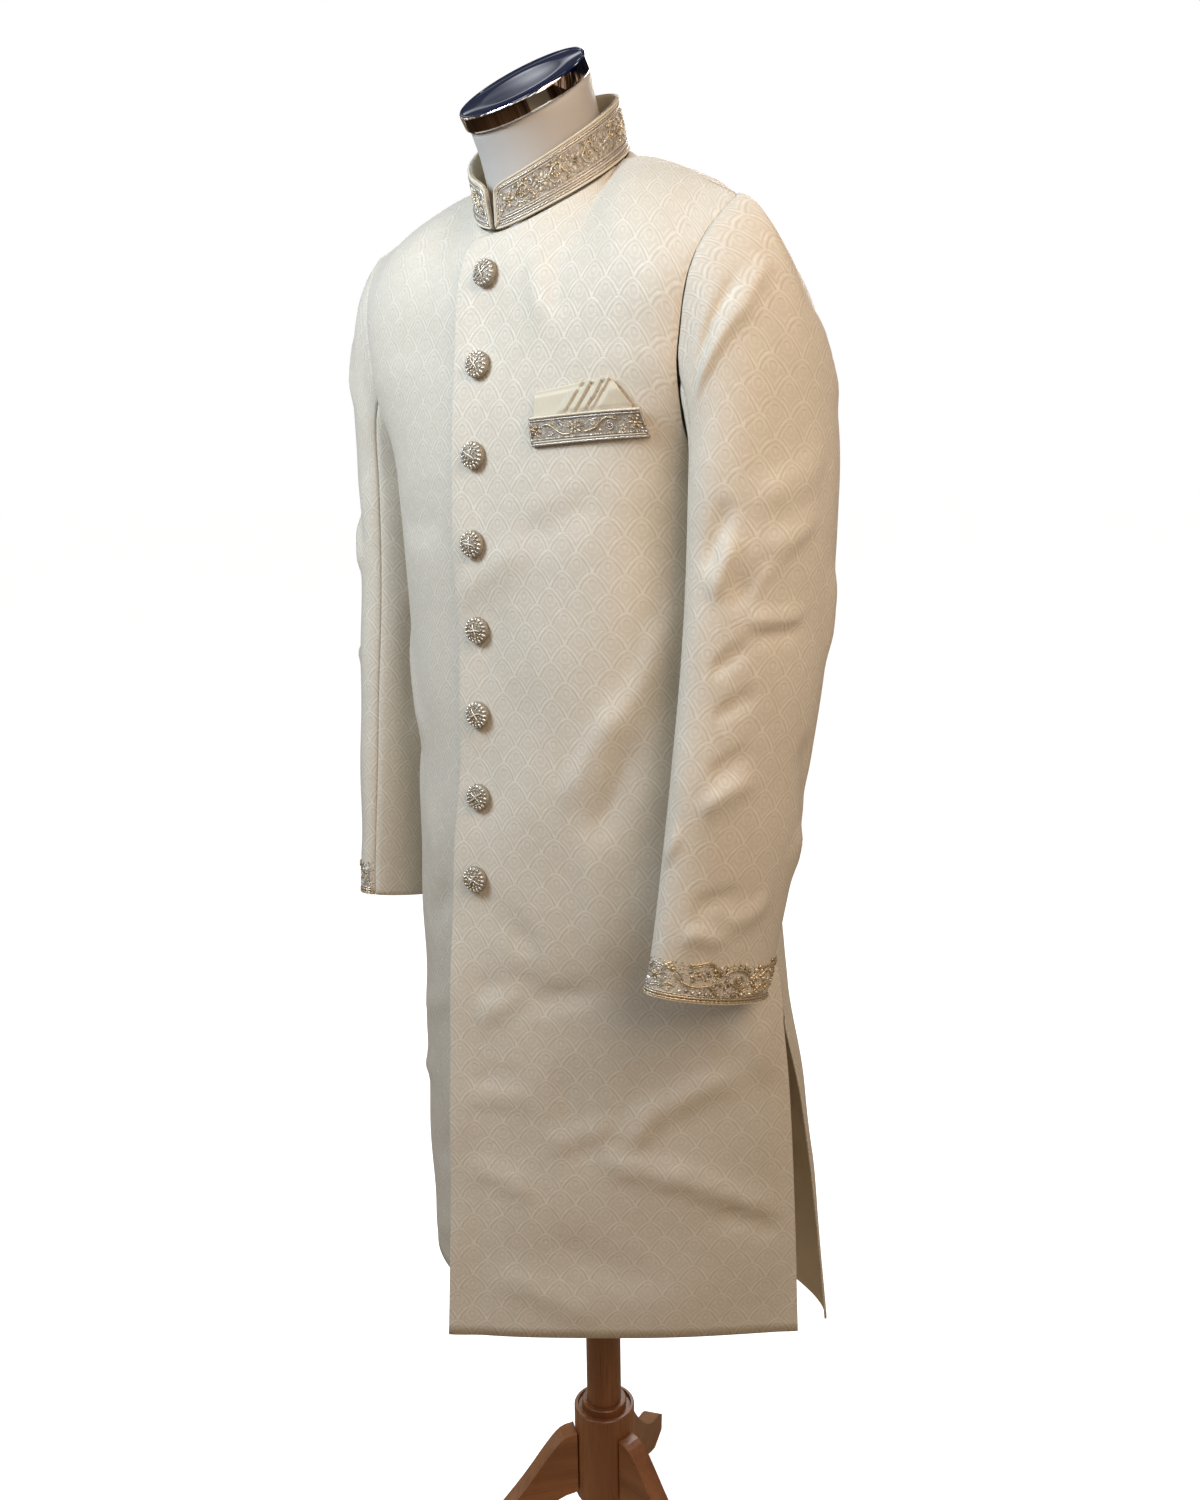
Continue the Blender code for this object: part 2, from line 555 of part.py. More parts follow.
def front_surface(x, z):
    """Point and outward normal of the left front at x and height z."""
    step = 0.003
    across = front_point(x + step, z) - front_point(x - step, z)
    up = front_point(x, z + step) - front_point(x, z - step)
    return front_point(x, z), unit(np.cross(across, up))


def make_buttons():
    """Eight domed buttons down the centre, each facing out from the front it lies on."""
    rim = 0.0012
    dome = [(BUTTON_RADIUS * math.sin(a), BUTTON_RIM + BUTTON_DOME * math.cos(a))
            for a in np.radians([0, 22, 44, 62, 78])]
    profile = dome + [(BUTTON_RADIUS, BUTTON_RIM), (BUTTON_RADIUS, rim),
                      (BUTTON_RADIUS - rim, 0.0), (0.0, 0.0)]
    for i in range(BUTTON_COUNT):
        p, normal = front_surface(0.0, FIRST_BUTTON - i * BUTTON_PITCH)
        piece = turned(f"button_{i + 1}", profile, "button", 20)
        piece.location = p + normal * LAP
        piece.rotation_mode = "QUATERNION"
        piece.rotation_quaternion = facing(normal)


def facing(normal):
    """Rotation that takes +Z to a normal."""
    return Vector(normal).to_track_quat("Z", "Y")


def on_front(along, up, stand_off):
    """Point over the left front in the pocket's own directions, moved out by stand_off."""
    rise = math.radians(POCKET_RISE)
    x0, z0 = POCKET_START
    # "along" is measured on the cloth, which slants back from the camera's side of the chest
    x = x0 + along * math.cos(rise) * CHEST_SLANT
    z = z0 + along * math.sin(rise) + up
    p, normal = front_surface(x, z)
    return p + normal * stand_off


def slab(name, outline_low, outline_high, thickness, finish, columns):
    """A strip on the front: its outer face runs from a low line to a high line.

    Each line is a function of the share along the strip that gives (along, up, stand_off) of
    the inner face; the outer face is "thickness" further out.
    """
    share = np.linspace(0, 1, columns)
    rings = []
    for s in share:
        (a0, u0, o0), (a1, u1, o1) = outline_low(s), outline_high(s)
        rings.append([on_front(a0, u0, o0), on_front(a1, u1, o1),
                      on_front(a1, u1, o1 + thickness), on_front(a0, u0, o0 + thickness)])
    return capped(name, np.array(rings), finish)


def make_pocket():
    half = POCKET_HEIGHT / 2
    slab("welt_pocket",
         lambda s: (s * POCKET_LENGTH + POCKET_SKEW, -half, LAP),
         lambda s: (s * POCKET_LENGTH, half, LAP + POCKET_FLARE),
         WALL, "embroidery", 11)
    points = ((0.0, 0.80), (0.46, 1.0), (0.60, 0.97), (0.66, 0.80), (0.74, 0.95), (0.79, 0.72),
              (0.86, 0.84), (0.90, 0.58), (0.96, 0.66), (1.0, 0.0))
    shares, peaks = zip(*points)
    start = (POCKET_LENGTH - SQUARE_LENGTH) * 0.35

    def top_line(s):
        rise = half + 0.002 + (SQUARE_RISE - 0.002) * float(np.interp(s, shares, peaks))
        return start + s * SQUARE_LENGTH, rise, LAP

    slab("pocket_square",
         lambda s: (start + s * SQUARE_LENGTH, half - SQUARE_TUCK, LAP * 0.7),
         top_line, 0.0018, "cloth", 25)


# ---------------------------------------------------------------- the form and its stand
def coat_reach(height, turn):
    """Distance from the pole's line out to the nearer side of the coat, turned from the front."""
    share = np.linspace(0, 1, 120)
    level = np.full(share.shape, height)
    reach = []
    for tables in (LEFT, RIGHT):
        row = np.concatenate([front_row(tables[0], level, 0.12 + 0.88 * share),
                              back_row(tables, level, share)])
        x, y = row[:, 0], row[:, 1] - FORM_MIDDLE
        reach.append(np.interp(turn, np.arctan2(x, -y), np.hypot(x, y)))
    return np.minimum(*reach)


def torso_rings(around):
    """Rings of the form from its base up inside the coat, over the shoulders and up the neck."""
    turn = np.linspace(0, 2 * np.pi, around, endpoint=False)
    ahead = (np.pi - np.abs(np.pi - turn))
    rings = []
    for height, shrink in TORSO:
        reach = coat_reach(height, ahead) - FORM_INSET - shrink
        rings.append(np.stack([reach * np.sin(turn), FORM_MIDDLE - reach * np.cos(turn),
                               np.full(around, height)], -1))
    for height, width, front, back in SHOULDERS:
        middle, half = (front + back) / 2, (back - front) / 2
        rings.append(np.stack([width * np.sin(turn), middle - half * np.cos(turn),
                               np.full(around, height)], -1))
    for height, middle, radius, tilt in NECK:
        lean = math.radians(tilt)
        rings.append(np.stack([radius * np.sin(turn), middle - radius * np.cos(turn) * math.cos(lean),
                               height - radius * np.cos(turn) * math.sin(lean)], -1))
    return np.array(rings)


FORM_MIDDLE = -0.025
# height, and how much further in the form is than its inset there
TORSO = ((0.790, 0.012), (0.796, 0.004), (0.840, 0.000), (0.900, 0.000), (0.980, 0.000), (1.060, 0.000),
         (1.140, 0.000), (1.200, 0.002), (1.250, 0.006), (1.300, 0.006), (1.335, 0.008))
# height, half width, front and back of each ring over the shoulders
SHOULDERS = ((1.370, 0.176, -0.098, 0.066), (1.396, 0.156, -0.091, 0.050),
             (1.412, 0.124, -0.087, 0.038), (1.422, 0.092, -0.088, 0.027))
# height, middle in y, radius and forward tilt of each ring up the neck
NECK = ((1.437, -0.0400, 0.0575, 8.0), (1.453, -0.0430, 0.0556, 14.0), (1.475, -0.0485, 0.0553, 21.0),
        (1.500, -0.0568, 0.0560, 29.0), (1.5228, -0.0662, 0.0578, 35.0))


def make_form():
    capped("dress_form", torso_rings(32), "form")


def make_cap():
    r = CAP_RADIUS
    profile = [(0.0, CAP_HEIGHT), (r - 0.0030, CAP_HEIGHT), (r - 0.0008, CAP_HEIGHT - 0.0008),
               (r, CAP_HEIGHT - 0.003), (r, 0.0025), (r - 0.0015, 0.0), (0.0, 0.0)]
    cap = turned("neck_cap", profile, "chrome", 40)
    tilt = math.radians(CAP_TILT)
    down = np.array([0, math.sin(tilt), -math.cos(tilt)])
    cap.location = np.array(CAP_CENTRE) + down * CAP_HEIGHT
    cap.rotation_euler = (tilt, 0, 0)


def make_stand():
    r = POLE_RADIUS
    top = FORM_BASE - 0.0006
    turned("pole", [(0.0, top), (r, top), (r, HUB_TOP + 0.0066), (0.0, HUB_TOP + 0.0066)], "wood", 24)
    ring, rim = r + 0.0055, HUB_RADIUS
    turned("hub", [(0.0, HUB_TOP + 0.006), (ring - 0.001, HUB_TOP + 0.006), (ring, HUB_TOP + 0.005),
                   (ring, HUB_TOP - 0.003), (rim - 0.0045, HUB_TOP - 0.003), (rim - 0.0035, HUB_TOP),
                   (rim - 0.001, HUB_TOP), (rim, HUB_TOP - 0.001), (rim, HUB_BOTTOM + 0.002),
                   (rim - 0.002, HUB_BOTTOM), (0.0, HUB_BOTTOM)], "wood", 32)
    for i in range(LEG_COUNT):
        make_leg(f"leg_{i + 1}", math.radians(LEG_FIRST_TURN + i * 360 / LEG_COUNT))


def through(points, per_span):
    """Points along a smooth curve through a few given ones."""
    points = np.array(points, float)
    at = np.arange(len(points))
    t = np.linspace(0, len(points) - 1, (len(points) - 1) * per_span + 1)
    return np.stack([smooth_at(at, points[:, k], t) for k in (0, 1)], -1)


def make_leg(name, turn):
    """A flat sawn leg: its outline is a closed curve, extruded to the board's thickness."""
    upper = through(LEG_UPPER, 3)
    lower = through(LEG_LOWER[1:], 3)
    outline = np.concatenate([upper, [LEG_LOWER[0]], lower])
    outline[:, 0] = np.maximum(outline[:, 0], HUB_RADIUS + 0.0004)
    curve = bpy.data.curves.new(name, "CURVE")
    curve.dimensions = "2D"
    curve.fill_mode = "BOTH"
    curve.extrude = LEG_THICKNESS / 2
    spline = curve.splines.new("POLY")
    spline.points.add(len(outline) - 1)
    for point, (out, up) in zip(spline.points, outline):
        point.co = (out, up, 0.0, 1.0)
    spline.use_cyclic_u = True
    leg = add_object(name, curve, "wood")
    leg.rotation_euler = (math.pi / 2, 0.0, turn)


def main():
    for piece in list(bpy.data.objects):
        bpy.data.objects.remove(piece, do_unlink=True)
    coat = bpy.data.collections.new("sherwani_coat")
    bpy.context.scene.collection.children.link(coat)
    make_panels()
    make_sleeves()
    make_collar()
    make_buttons()
    make_pocket()
    make_form()
    make_cap()
    make_stand()


main()
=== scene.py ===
"""Sherwani coat on a limbless dress form: the look of every piece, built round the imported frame.

Each cut panel of the coat is a grid of points worked out from a short table of sections, with its
creases pressed into it and a wall of cloth given to it.  The embroidery is laid out flat, as cords,
beads and petals, and then bent on to the piece that it is sewn to.  +X is the wearer's left, the
front faces -Y, and the stand's pole is the Z axis with the floor at z = 0.
"""

import math

import bpy
import numpy as np
from mathutils import Matrix, Vector


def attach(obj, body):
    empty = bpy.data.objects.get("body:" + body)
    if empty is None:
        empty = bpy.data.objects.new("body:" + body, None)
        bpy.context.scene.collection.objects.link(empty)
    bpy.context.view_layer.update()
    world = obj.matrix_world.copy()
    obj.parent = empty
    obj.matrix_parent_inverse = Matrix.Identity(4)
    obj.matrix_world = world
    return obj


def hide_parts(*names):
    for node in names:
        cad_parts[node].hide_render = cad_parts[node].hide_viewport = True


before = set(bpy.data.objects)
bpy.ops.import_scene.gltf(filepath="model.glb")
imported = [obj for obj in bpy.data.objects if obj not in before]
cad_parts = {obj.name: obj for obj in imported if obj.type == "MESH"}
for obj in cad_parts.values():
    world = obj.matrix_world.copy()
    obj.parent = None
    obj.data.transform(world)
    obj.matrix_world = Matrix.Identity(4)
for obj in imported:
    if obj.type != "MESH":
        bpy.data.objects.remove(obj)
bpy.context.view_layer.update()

bl_info = {
    "name": "Sherwani coat",
    "version": (1, 0, 0),
    "blender": (4, 5, 0),
    "location": "View3D > Sidebar > Sherwani",
    "description": "Builds an embroidered brocade sherwani coat on its dress form",
    "category": "Add Mesh",
}

# ---- driving dimensions, in metres
WALL = 0.002              # cloth with its interlining
SEAM_GAP = 0.0006         # between two pieces along a seam
LAP = 0.0010              # between two layers that lie on each other
HEM = 0.375               # height of the hem above the floor
VENT_TOP = 0.720          # where the side vents start
UNDERARM = 1.200
YOKE = 1.335              # above this the front and back turn over to the shoulder seam
YOKE_ROWS = 5
LAP_SHARE = 0.12            # share of a front's width that lies beyond the centre line
FRONT_NECK_SHARE = 0.52     # share of a front's top edge that is sewn to the collar
BACK_SHOULDER_SHARE = 0.60  # share of a back's top edge that is in the shoulder seam
SHOULDER_END = (0.226, -0.058, 1.418)
SHOULDER_FULLNESS = 0.0115  # how far the shoulder seam rises over a straight line
NECK_POINT_TURN = 100.0   # where the shoulder seam meets the collar, degrees round from the front

COLLAR_WALL = 0.003
COLLAR_CENTRE_TURN = -5.0  # the opening sits a little towards the wearer's right
COLLAR_HALF_OPENING = 2.0  # degrees, at the foot of the band
COLLAR_CORNER = 0.016      # radius of the rounded front corners
COLLAR_WORK = 0.0385       # height that its embroidery is laid out on

NECK_TUCK = 0.0035        # how much further in the right front goes under the left at the neck
RIGHT_CUFF_OUT = 0.005     # how much further out the right cuff hangs than the left

BUTTON_COUNT = 8
BUTTON_RADIUS = 0.0125
BUTTON_RIM = 0.0025
BUTTON_DOME = 0.0055
FIRST_BUTTON = 1.3734
BUTTON_PITCH = 0.0767
BUTTON_CLOTH = (0.55, 0.35, 0.30)  # its dome's thread, as in the embroidery

POCKET_LENGTH = 0.109
POCKET_HEIGHT = 0.0235
POCKET_START = (0.0670, 1.2380)   # x and z of the middle of its inner end
POCKET_RISE = 4.0               # degrees, inner end to outer end
POCKET_FLARE = 0.0034           # how far its top edge stands off the front
POCKET_SKEW = 0.002             # how far its lower edge is set outwards
SQUARE_LENGTH = 0.098
SQUARE_RISE = 0.026
SQUARE_TUCK = 0.009
CHEST_SLANT = 0.955             # width across the front of a length laid along its curve
POCKET_CLEAR = (0.118, 1.250, 0.075, 0.045)  # x, z and half sizes of the smooth cloth round it

FORM_INSET = 0.009        # from the outer face of the cloth in to the form
CAP_CENTRE = (0.0, -0.0752, 1.5357)
CAP_TILT = 35.0
CAP_RADIUS = 0.0608
CAP_HEIGHT = 0.015

LEG_COUNT = 3
LEG_FIRST_TURN = 238.0

# ---- tables of sections
# Each row is one level of a half body, seen in plan: the line leaves the centre front at
# "front", turned "front_turn" degrees from +X, and reaches the side at (side_x, side_y), turned
# "side_turn" degrees.  The two reaches say how full the curve is at each end.
FRONT_COLUMNS = ("height", "lap", "front", "front_turn", "front_reach",
                 "side_x", "side_y", "side_turn", "side_reach")
LEFT_FRONT = (
    (0.375, 0.024, -0.180, 37.0, 0.105, 0.2290, 0.041, 50.0, 0.105),
    (0.500, 0.024, -0.172, 33.0, 0.100, 0.2270, 0.036, 56.0, 0.095),
    (0.620, 0.025, -0.166, 28.0, 0.095, 0.2240, 0.030, 64.0, 0.085),
    (0.720, 0.026, -0.161, 20.0, 0.095, 0.2180, 0.022, 74.0, 0.080),
    (0.840, 0.027, -0.154, 9.0, 0.105, 0.2000, 0.010, 86.0, 0.090),
    (0.960, 0.024, -0.145, 4.0, 0.116, 0.1820, -0.010, 90.0, 0.098),
    (1.060, 0.024, -0.142, 3.0, 0.122, 0.1770, -0.022, 90.0, 0.096),
    (1.140, 0.026, -0.143, 3.0, 0.122, 0.1790, -0.032, 90.0, 0.088),
    (1.200, 0.027, -0.142, 4.0, 0.132, 0.1830, -0.035, 88.0, 0.086),
    (1.215, 0.027, -0.141, 4.0, 0.124, 0.1870, -0.062, 80.0, 0.062),
    (1.250, 0.028, -0.138, 4.0, 0.100, 0.1940, -0.088, 62.0, 0.040),
    (1.300, 0.030, -0.131, 4.0, 0.095, 0.1990, -0.099, 48.0, 0.040),
    (1.335, 0.032, -0.1262, 4.0, 0.090, 0.2040, -0.099, 40.0, 0.045),
)
RIGHT_FRONT = (
    (0.375, 0.020, -0.150, 12.0, 0.108, 0.2160, -0.005, 74.0, 0.115),
    (0.500, 0.020, -0.150, 11.0, 0.112, 0.2170, -0.002, 78.0, 0.115),
    (0.620, 0.020, -0.150, 10.0, 0.118, 0.2160, 0.004, 80.0, 0.116),
    (0.720, 0.020, -0.150, 8.0, 0.125, 0.2110, 0.010, 82.0, 0.116),
    (0.840, 0.020, -0.150, 6.0, 0.124, 0.1970, 0.006, 86.0, 0.110),
    (0.960, 0.020, -0.144, 4.0, 0.118, 0.1820, -0.010, 90.0, 0.100),
    *((height, 0.020, *row[:2], 0.098 if height == 1.250 else row[2], *row[3:])
      for height, _, *row in LEFT_FRONT[6:]),
)
BACK_COLUMNS = ("height", "back", "back_reach", "side_x", "side_y", "side_turn", "side_reach")
LEFT_BACK = (
    (0.375, 0.128, 0.090, 0.2380, 0.076, 120.0, 0.050),
    (0.500, 0.126, 0.090, 0.2330, 0.062, 115.0, 0.055),
    (0.620, 0.124, 0.092, 0.2270, 0.044, 108.0, 0.062),
    (0.720, 0.121, 0.094, 0.2180, 0.022, 100.0, 0.068),
    (0.840, 0.112, 0.095, 0.2000, 0.010, 94.0, 0.065),
    (0.960, 0.090, 0.092, 0.1820, -0.010, 90.0, 0.060),
    (1.060, 0.083, 0.090, 0.1770, -0.022, 90.0, 0.060),
    (1.140, 0.090, 0.092, 0.1790, -0.032, 90.0, 0.070),
    (1.200, 0.096, 0.095, 0.1830, -0.035, 92.0, 0.080),
    (1.215, 0.098, 0.096, 0.1870, -0.008, 100.0, 0.060),
    (1.250, 0.100, 0.096, 0.1920, 0.018, 116.0, 0.045),
    (1.300, 0.101, 0.096, 0.1970, 0.032, 132.0, 0.045),
    (1.335, 0.098, 0.094, 0.2010, 0.032, 140.0, 0.050),
)
RIGHT_BACK_SIDE = {0.375: (0.2240, 0.034), 0.500: (0.2220, 0.026), 0.620: (0.2180, 0.016),
                   0.720: (0.2110, 0.010), 0.840: (0.1970, 0.006)}
RIGHT_BACK = tuple(row[:3] + RIGHT_BACK_SIDE.get(row[0], row[3:5]) + row[5:] for row in LEFT_BACK)
LEFT, RIGHT = (LEFT_FRONT, LEFT_BACK), (RIGHT_FRONT, RIGHT_BACK)

# Each row is one ring of the sleeve: its centre, its half sizes across and along the arm's
# front-to-back direction, how far that direction is turned inwards at the front, and how much
# the ring's plane tips up at the front.
SLEEVE_COLUMNS = ("height", "x", "y", "half_width", "half_depth", "turn", "tip")
SLEEVE = (
    (0.758, 0.2115, -0.077, 0.0280, 0.0620, 14.0, 13.0),
    (0.806, 0.2168, -0.070, 0.0295, 0.0635, 14.0, 12.0),
    (0.880, 0.2220, -0.059, 0.0330, 0.0665, 13.0, 10.0),
    (0.966, 0.2270, -0.048, 0.0365, 0.0690, 12.0, 8.0),
    (1.060, 0.2300, -0.035, 0.0405, 0.0720, 11.0, 5.0),
    (1.130, 0.2310, -0.029, 0.0430, 0.0735, 10.0, 2.0),
    (1.186, 0.2310, -0.026, 0.0440, 0.0745, 9.0, 0.0),
)
# The two edges of the collar band: half width, front and back in y, their heights, and how
# early the edge climbs on its way round to the back.
COLLAR_FOOT = (0.0725, -0.1054, 0.0228, 1.4112, 1.4945, 0.81)
COLLAR_TOP = (0.0726, -0.1105, 0.0074, 1.4467, 1.5352, 0.75)


# ---- reading the tables
def column(table, columns, name):
    """One named column of a table as an array."""
    return np.array([row[columns.index(name)] for row in table])


def held_slopes(xs, ys):
    """Slopes that never overshoot: the harmonic mean of both sides, or none at a turning point."""
    sides = np.diff(ys) / np.diff(xs)
    product = sides[:-1] * sides[1:]
    total = np.where(product > 0, sides[:-1] + sides[1:], 1.0)
    return np.concatenate([sides[:1], np.where(product > 0, 2 * product / total, 0.0), sides[-1:]])


def cubic(t, h, a, slope_a, b, slope_b):
    """Hermite cubic: from a to b over a length h, as t goes from 0 to 1, with a slope at each end."""
    return ((2 * t**3 - 3 * t**2 + 1) * a + (t**3 - 2 * t**2 + t) * h * slope_a
            + (3 * t**2 - 2 * t**3) * b + (t**3 - t**2) * h * slope_b)


def smooth_at(xs, ys, x, held=False):
    """Value at x of the curve through (xs, ys), with its neighbours' slope at each point."""
    xs, ys = np.asarray(xs, float), np.asarray(ys, float)
    x = np.clip(np.asarray(x, float), xs[0], xs[-1])
    slopes = held_slopes(xs, ys) if held else np.gradient(ys, xs)
    i = np.clip(np.searchsorted(xs, x, side="right") - 1, 0, len(xs) - 2)
    h = xs[i + 1] - xs[i]
    return cubic((x - xs[i]) / h, h, ys[i], slopes[i], ys[i + 1], slopes[i + 1])


def read(table, columns, name, height):
    """A column of a table at any height."""
    return smooth_at(column(table, columns, "height"), column(table, columns, name), height, held=True)


def ease(x):
    """Smooth step from 0 to 1 as x goes from 0 to 1."""
    x = np.clip(x, 0.0, 1.0)
    return x * x * (3 - 2 * x)


def mm(*rows):
    """Rows of numbers given in millimetres, as an array in metres."""
    return np.array(rows, float) / 1000


def spot(along, up):
    """One place on a flat layout, given in millimetres."""
    return mm((along, up))[0]


def unit(vectors):
    return vectors / np.maximum(np.linalg.norm(vectors, axis=-1, keepdims=True), 1e-9)


def bezier(a, b, c, d, t):
    """Cubic Bezier point at t, with its four control points as arrays of the same shape."""
    return (1 - t)**3 * a + 3 * t * (1 - t)**2 * b + 3 * t * t * (1 - t) * c + t**3 * d


def plan(x, y):
    return np.stack([x, y], -1)


def heading(degrees):
    return plan(np.cos(np.radians(degrees)), np.sin(np.radians(degrees)))


# ---- surfaces of the coat
def collar_edge(edge, turn):
    """Point on an edge of the band, turn in degrees round from the front towards +X."""
    half_width, front, back, low, high, climb = edge
    a = np.radians(turn)
    k = (1 - np.cos(a)) / 2
    middle, half = (front + back) / 2, (back - front) / 2
    return np.stack([half_width * np.sin(a), middle - half * np.cos(a), low + (high - low) * k**climb], -1)


def neck_line(turn):
    """The panels' edge round the neck, a little outside the foot of the collar."""
    p = collar_edge(COLLAR_FOOT, turn)
    middle = np.array([0.0, (COLLAR_FOOT[1] + COLLAR_FOOT[2]) / 2, 0.0])
    out = unit((p - middle) * np.array([1.0, 1.0, 0.0]))
    return p + out * 0.0014 - np.array([0.0, 0.0, 0.0012])


def front_row(table, height, u):
    """Row of a left-hand front at one height; u = 0 at the free edge, 1 at the side."""
    get = lambda name: read(table, FRONT_COLUMNS, name, height)
    lap = get("lap")
    start = plan(0.0 * height, get("front"))
    end = plan(get("side_x"), get("side_y"))
    away, home = heading(get("front_turn")), heading(get("side_turn"))
    t = np.clip((u - LAP_SHARE) / (1 - LAP_SHARE), 0, 1)[..., None]
    curve = bezier(start, start + away * get("front_reach")[..., None],
                   end - home * get("side_reach")[..., None], end, t)
    back_off = np.clip(1 - u / LAP_SHARE, 0, 1)[..., None]
    xy = curve - away * lap[..., None] * back_off
    return np.concatenate([xy, (height + 0 * u)[..., None]], -1)


def back_row(tables, height, u):
    """Row of a left-hand back at one height; u = 0 at the side, 1 at the centre back."""
    get = lambda name: read(tables[1], BACK_COLUMNS, name, height)
    sewn = (height >= VENT_TOP) & (height <= UNDERARM)
    start = plan(*(np.where(sewn, read(tables[0], FRONT_COLUMNS, name, height), get(name))
                   for name in ("side_x", "side_y")))
    end = plan(0.0 * height + SEAM_GAP / 2, get("back"))
    away = heading(get("side_turn"))
    reach = get("back_reach")[..., None] * np.array([1.0, 0.0])
    xy = bezier(start, start + away * get("side_reach")[..., None], end + reach, end, u[..., None])
    return np.concatenate([xy, (height + 0 * u)[..., None]], -1)


def calmed(row_at, table, heights, u):
    """Rows of a panel whose chest is evened out: away from the side edge each level is the mean of
    the levels within 4 cm of it."""
    h, across = heights[:, None] + 0 * u[None], u[None] + 0 * heights[:, None]
    body = row_at(table, h, across)
    steps = np.linspace(-CALM_REACH, CALM_REACH, 9)
    mean = sum(row_at(table, h + step, across)[..., :2] for step in steps) / len(steps)
    share = ease((h - CALM_LEVELS[0]) / CALM_EASE) * ease((CALM_LEVELS[1] - h) / CALM_EASE)
    from_side = across if row_at is back_row else 1 - across
    share = share * ease(from_side / 0.22)
    body[..., :2] += share[..., None] * (mean - body[..., :2])
    return body


def shoulder_seam(s):
    """From the neck point (s = 0) to the shoulder end (s = 1), full where it leaves the neck."""
    start = neck_line(np.array(NECK_POINT_TURN))
    end = np.array(SHOULDER_END)
    p = start + (end - start) * s[..., None]
    p[..., 2] += SHOULDER_FULLNESS * np.sin(np.pi * s ** 0.6)
    return p


def yoke(bottom, below, top, top_slope, v):
    """Surface from a row of the panel up to the neck line and shoulder seam.

    Each column is a Bezier curve that leaves "bottom" in the direction the panel already has
    ("bottom" minus "below") and arrives at "top" along "top_slope".
    """
    length = np.linalg.norm(top - bottom, axis=-1, keepdims=True)
    rise = unit(bottom - below)
    c1 = bottom + rise * length * 0.42
    c2 = top - unit(top_slope) * length * 0.36
    v = v[:, None, None]
    return bezier(bottom[None], c1[None], c2[None], top[None], v)


def shares(cols):
    """Places of a panel's columns from 0 to 1, closest together at its two edges."""
    t = np.linspace(0, 1, cols)
    return t - 0.78 * np.sin(2 * np.pi * t) / (2 * np.pi)


def front_panel(table, side, cols, fine=1):
    """Outer face of a front as a grid [row from the hem up, column from the free edge]."""
    u = shares(cols)
    heights = panel_heights(fine)
    body = calmed(front_row, table, heights, u)
    under = front_row(table, np.full(cols, YOKE - 0.01), u)
    neck_share = FRONT_NECK_SHARE
    on_neck = u <= neck_share
    lap = read(table, FRONT_COLUMNS, "lap", YOKE)
    turn = NECK_POINT_TURN * np.clip((u - LAP_SHARE) / (neck_share - LAP_SHARE), 0, 1)
    neck = neck_line(turn)
    off = np.clip(1 - u / LAP_SHARE, 0, 1)
    neck[:, 0] -= off * lap
    neck[:, 2] -= off * 0.002
    seam = shoulder_seam(np.clip((u - neck_share) / (1 - neck_share), 0, 1))
    seam[:, 1] -= SEAM_GAP / 2
    top = np.where(on_neck[:, None], neck, seam)
    around = ease((u - LAP_SHARE) / (neck_share - LAP_SHARE))[:, None]
    over = ease((u - neck_share) / 0.18)[:, None]
    slope = np.array([0.0, 0.50, 1.0]) * (1 - around) + np.array([-0.05, 0.62, 0.70]) * around
    slope = slope * (1 - over) + np.array([0.0, 0.90, 0.42]) * over
    blend_end = ease((u - 0.80) / 0.2)[:, None]
    slope = slope * (1 - blend_end) + np.array([0.25, 0.85, 0.75]) * blend_end
    upper = yoke(body[-1], under, top, slope, np.linspace(0, 1, YOKE_ROWS * fine + 1)[1:])
    grid = np.concatenate([body, upper])
    if table is RIGHT_FRONT:
        grid = tuck_under(grid, front_panel(LEFT_FRONT, 1, 4 * cols, fine))
    grid[..., 0] *= side
    return grid


def tuck_under(grid, over):
    """The right front near the centre, sunk below the left front that laps over it."""
    for row, cover in zip(grid, over):
        lap = -cover[0, 0]
        room = np.interp(-row[:, 0], cover[:, 0], cover[:, 1]) + WALL + 2 * LAP
        room += NECK_TUCK * ease((row[:, 2] - YOKE) / 0.07)
        sink = np.maximum(room - row[:, 1], 0)
        at_edge = np.interp(lap, row[:, 0], sink)
        row[:, 1] += np.where(row[:, 0] < lap, sink, at_edge * (1 - ease((row[:, 0] - lap) / 0.05)))
    return grid


def panel_heights(fine):
    """Heights of a panel's rows below the yoke, closest together at the foot of the armhole."""
    skirt = np.linspace(HEM, VENT_TOP, 4 * fine + 1)
    body = np.linspace(VENT_TOP, UNDERARM, 6 * fine + 1)
    chest = UNDERARM + (YOKE - UNDERARM) * np.linspace(0, 1, 5 * fine + 1) ** 1.5
    return np.concatenate([skirt, body[1:], chest[1:]])


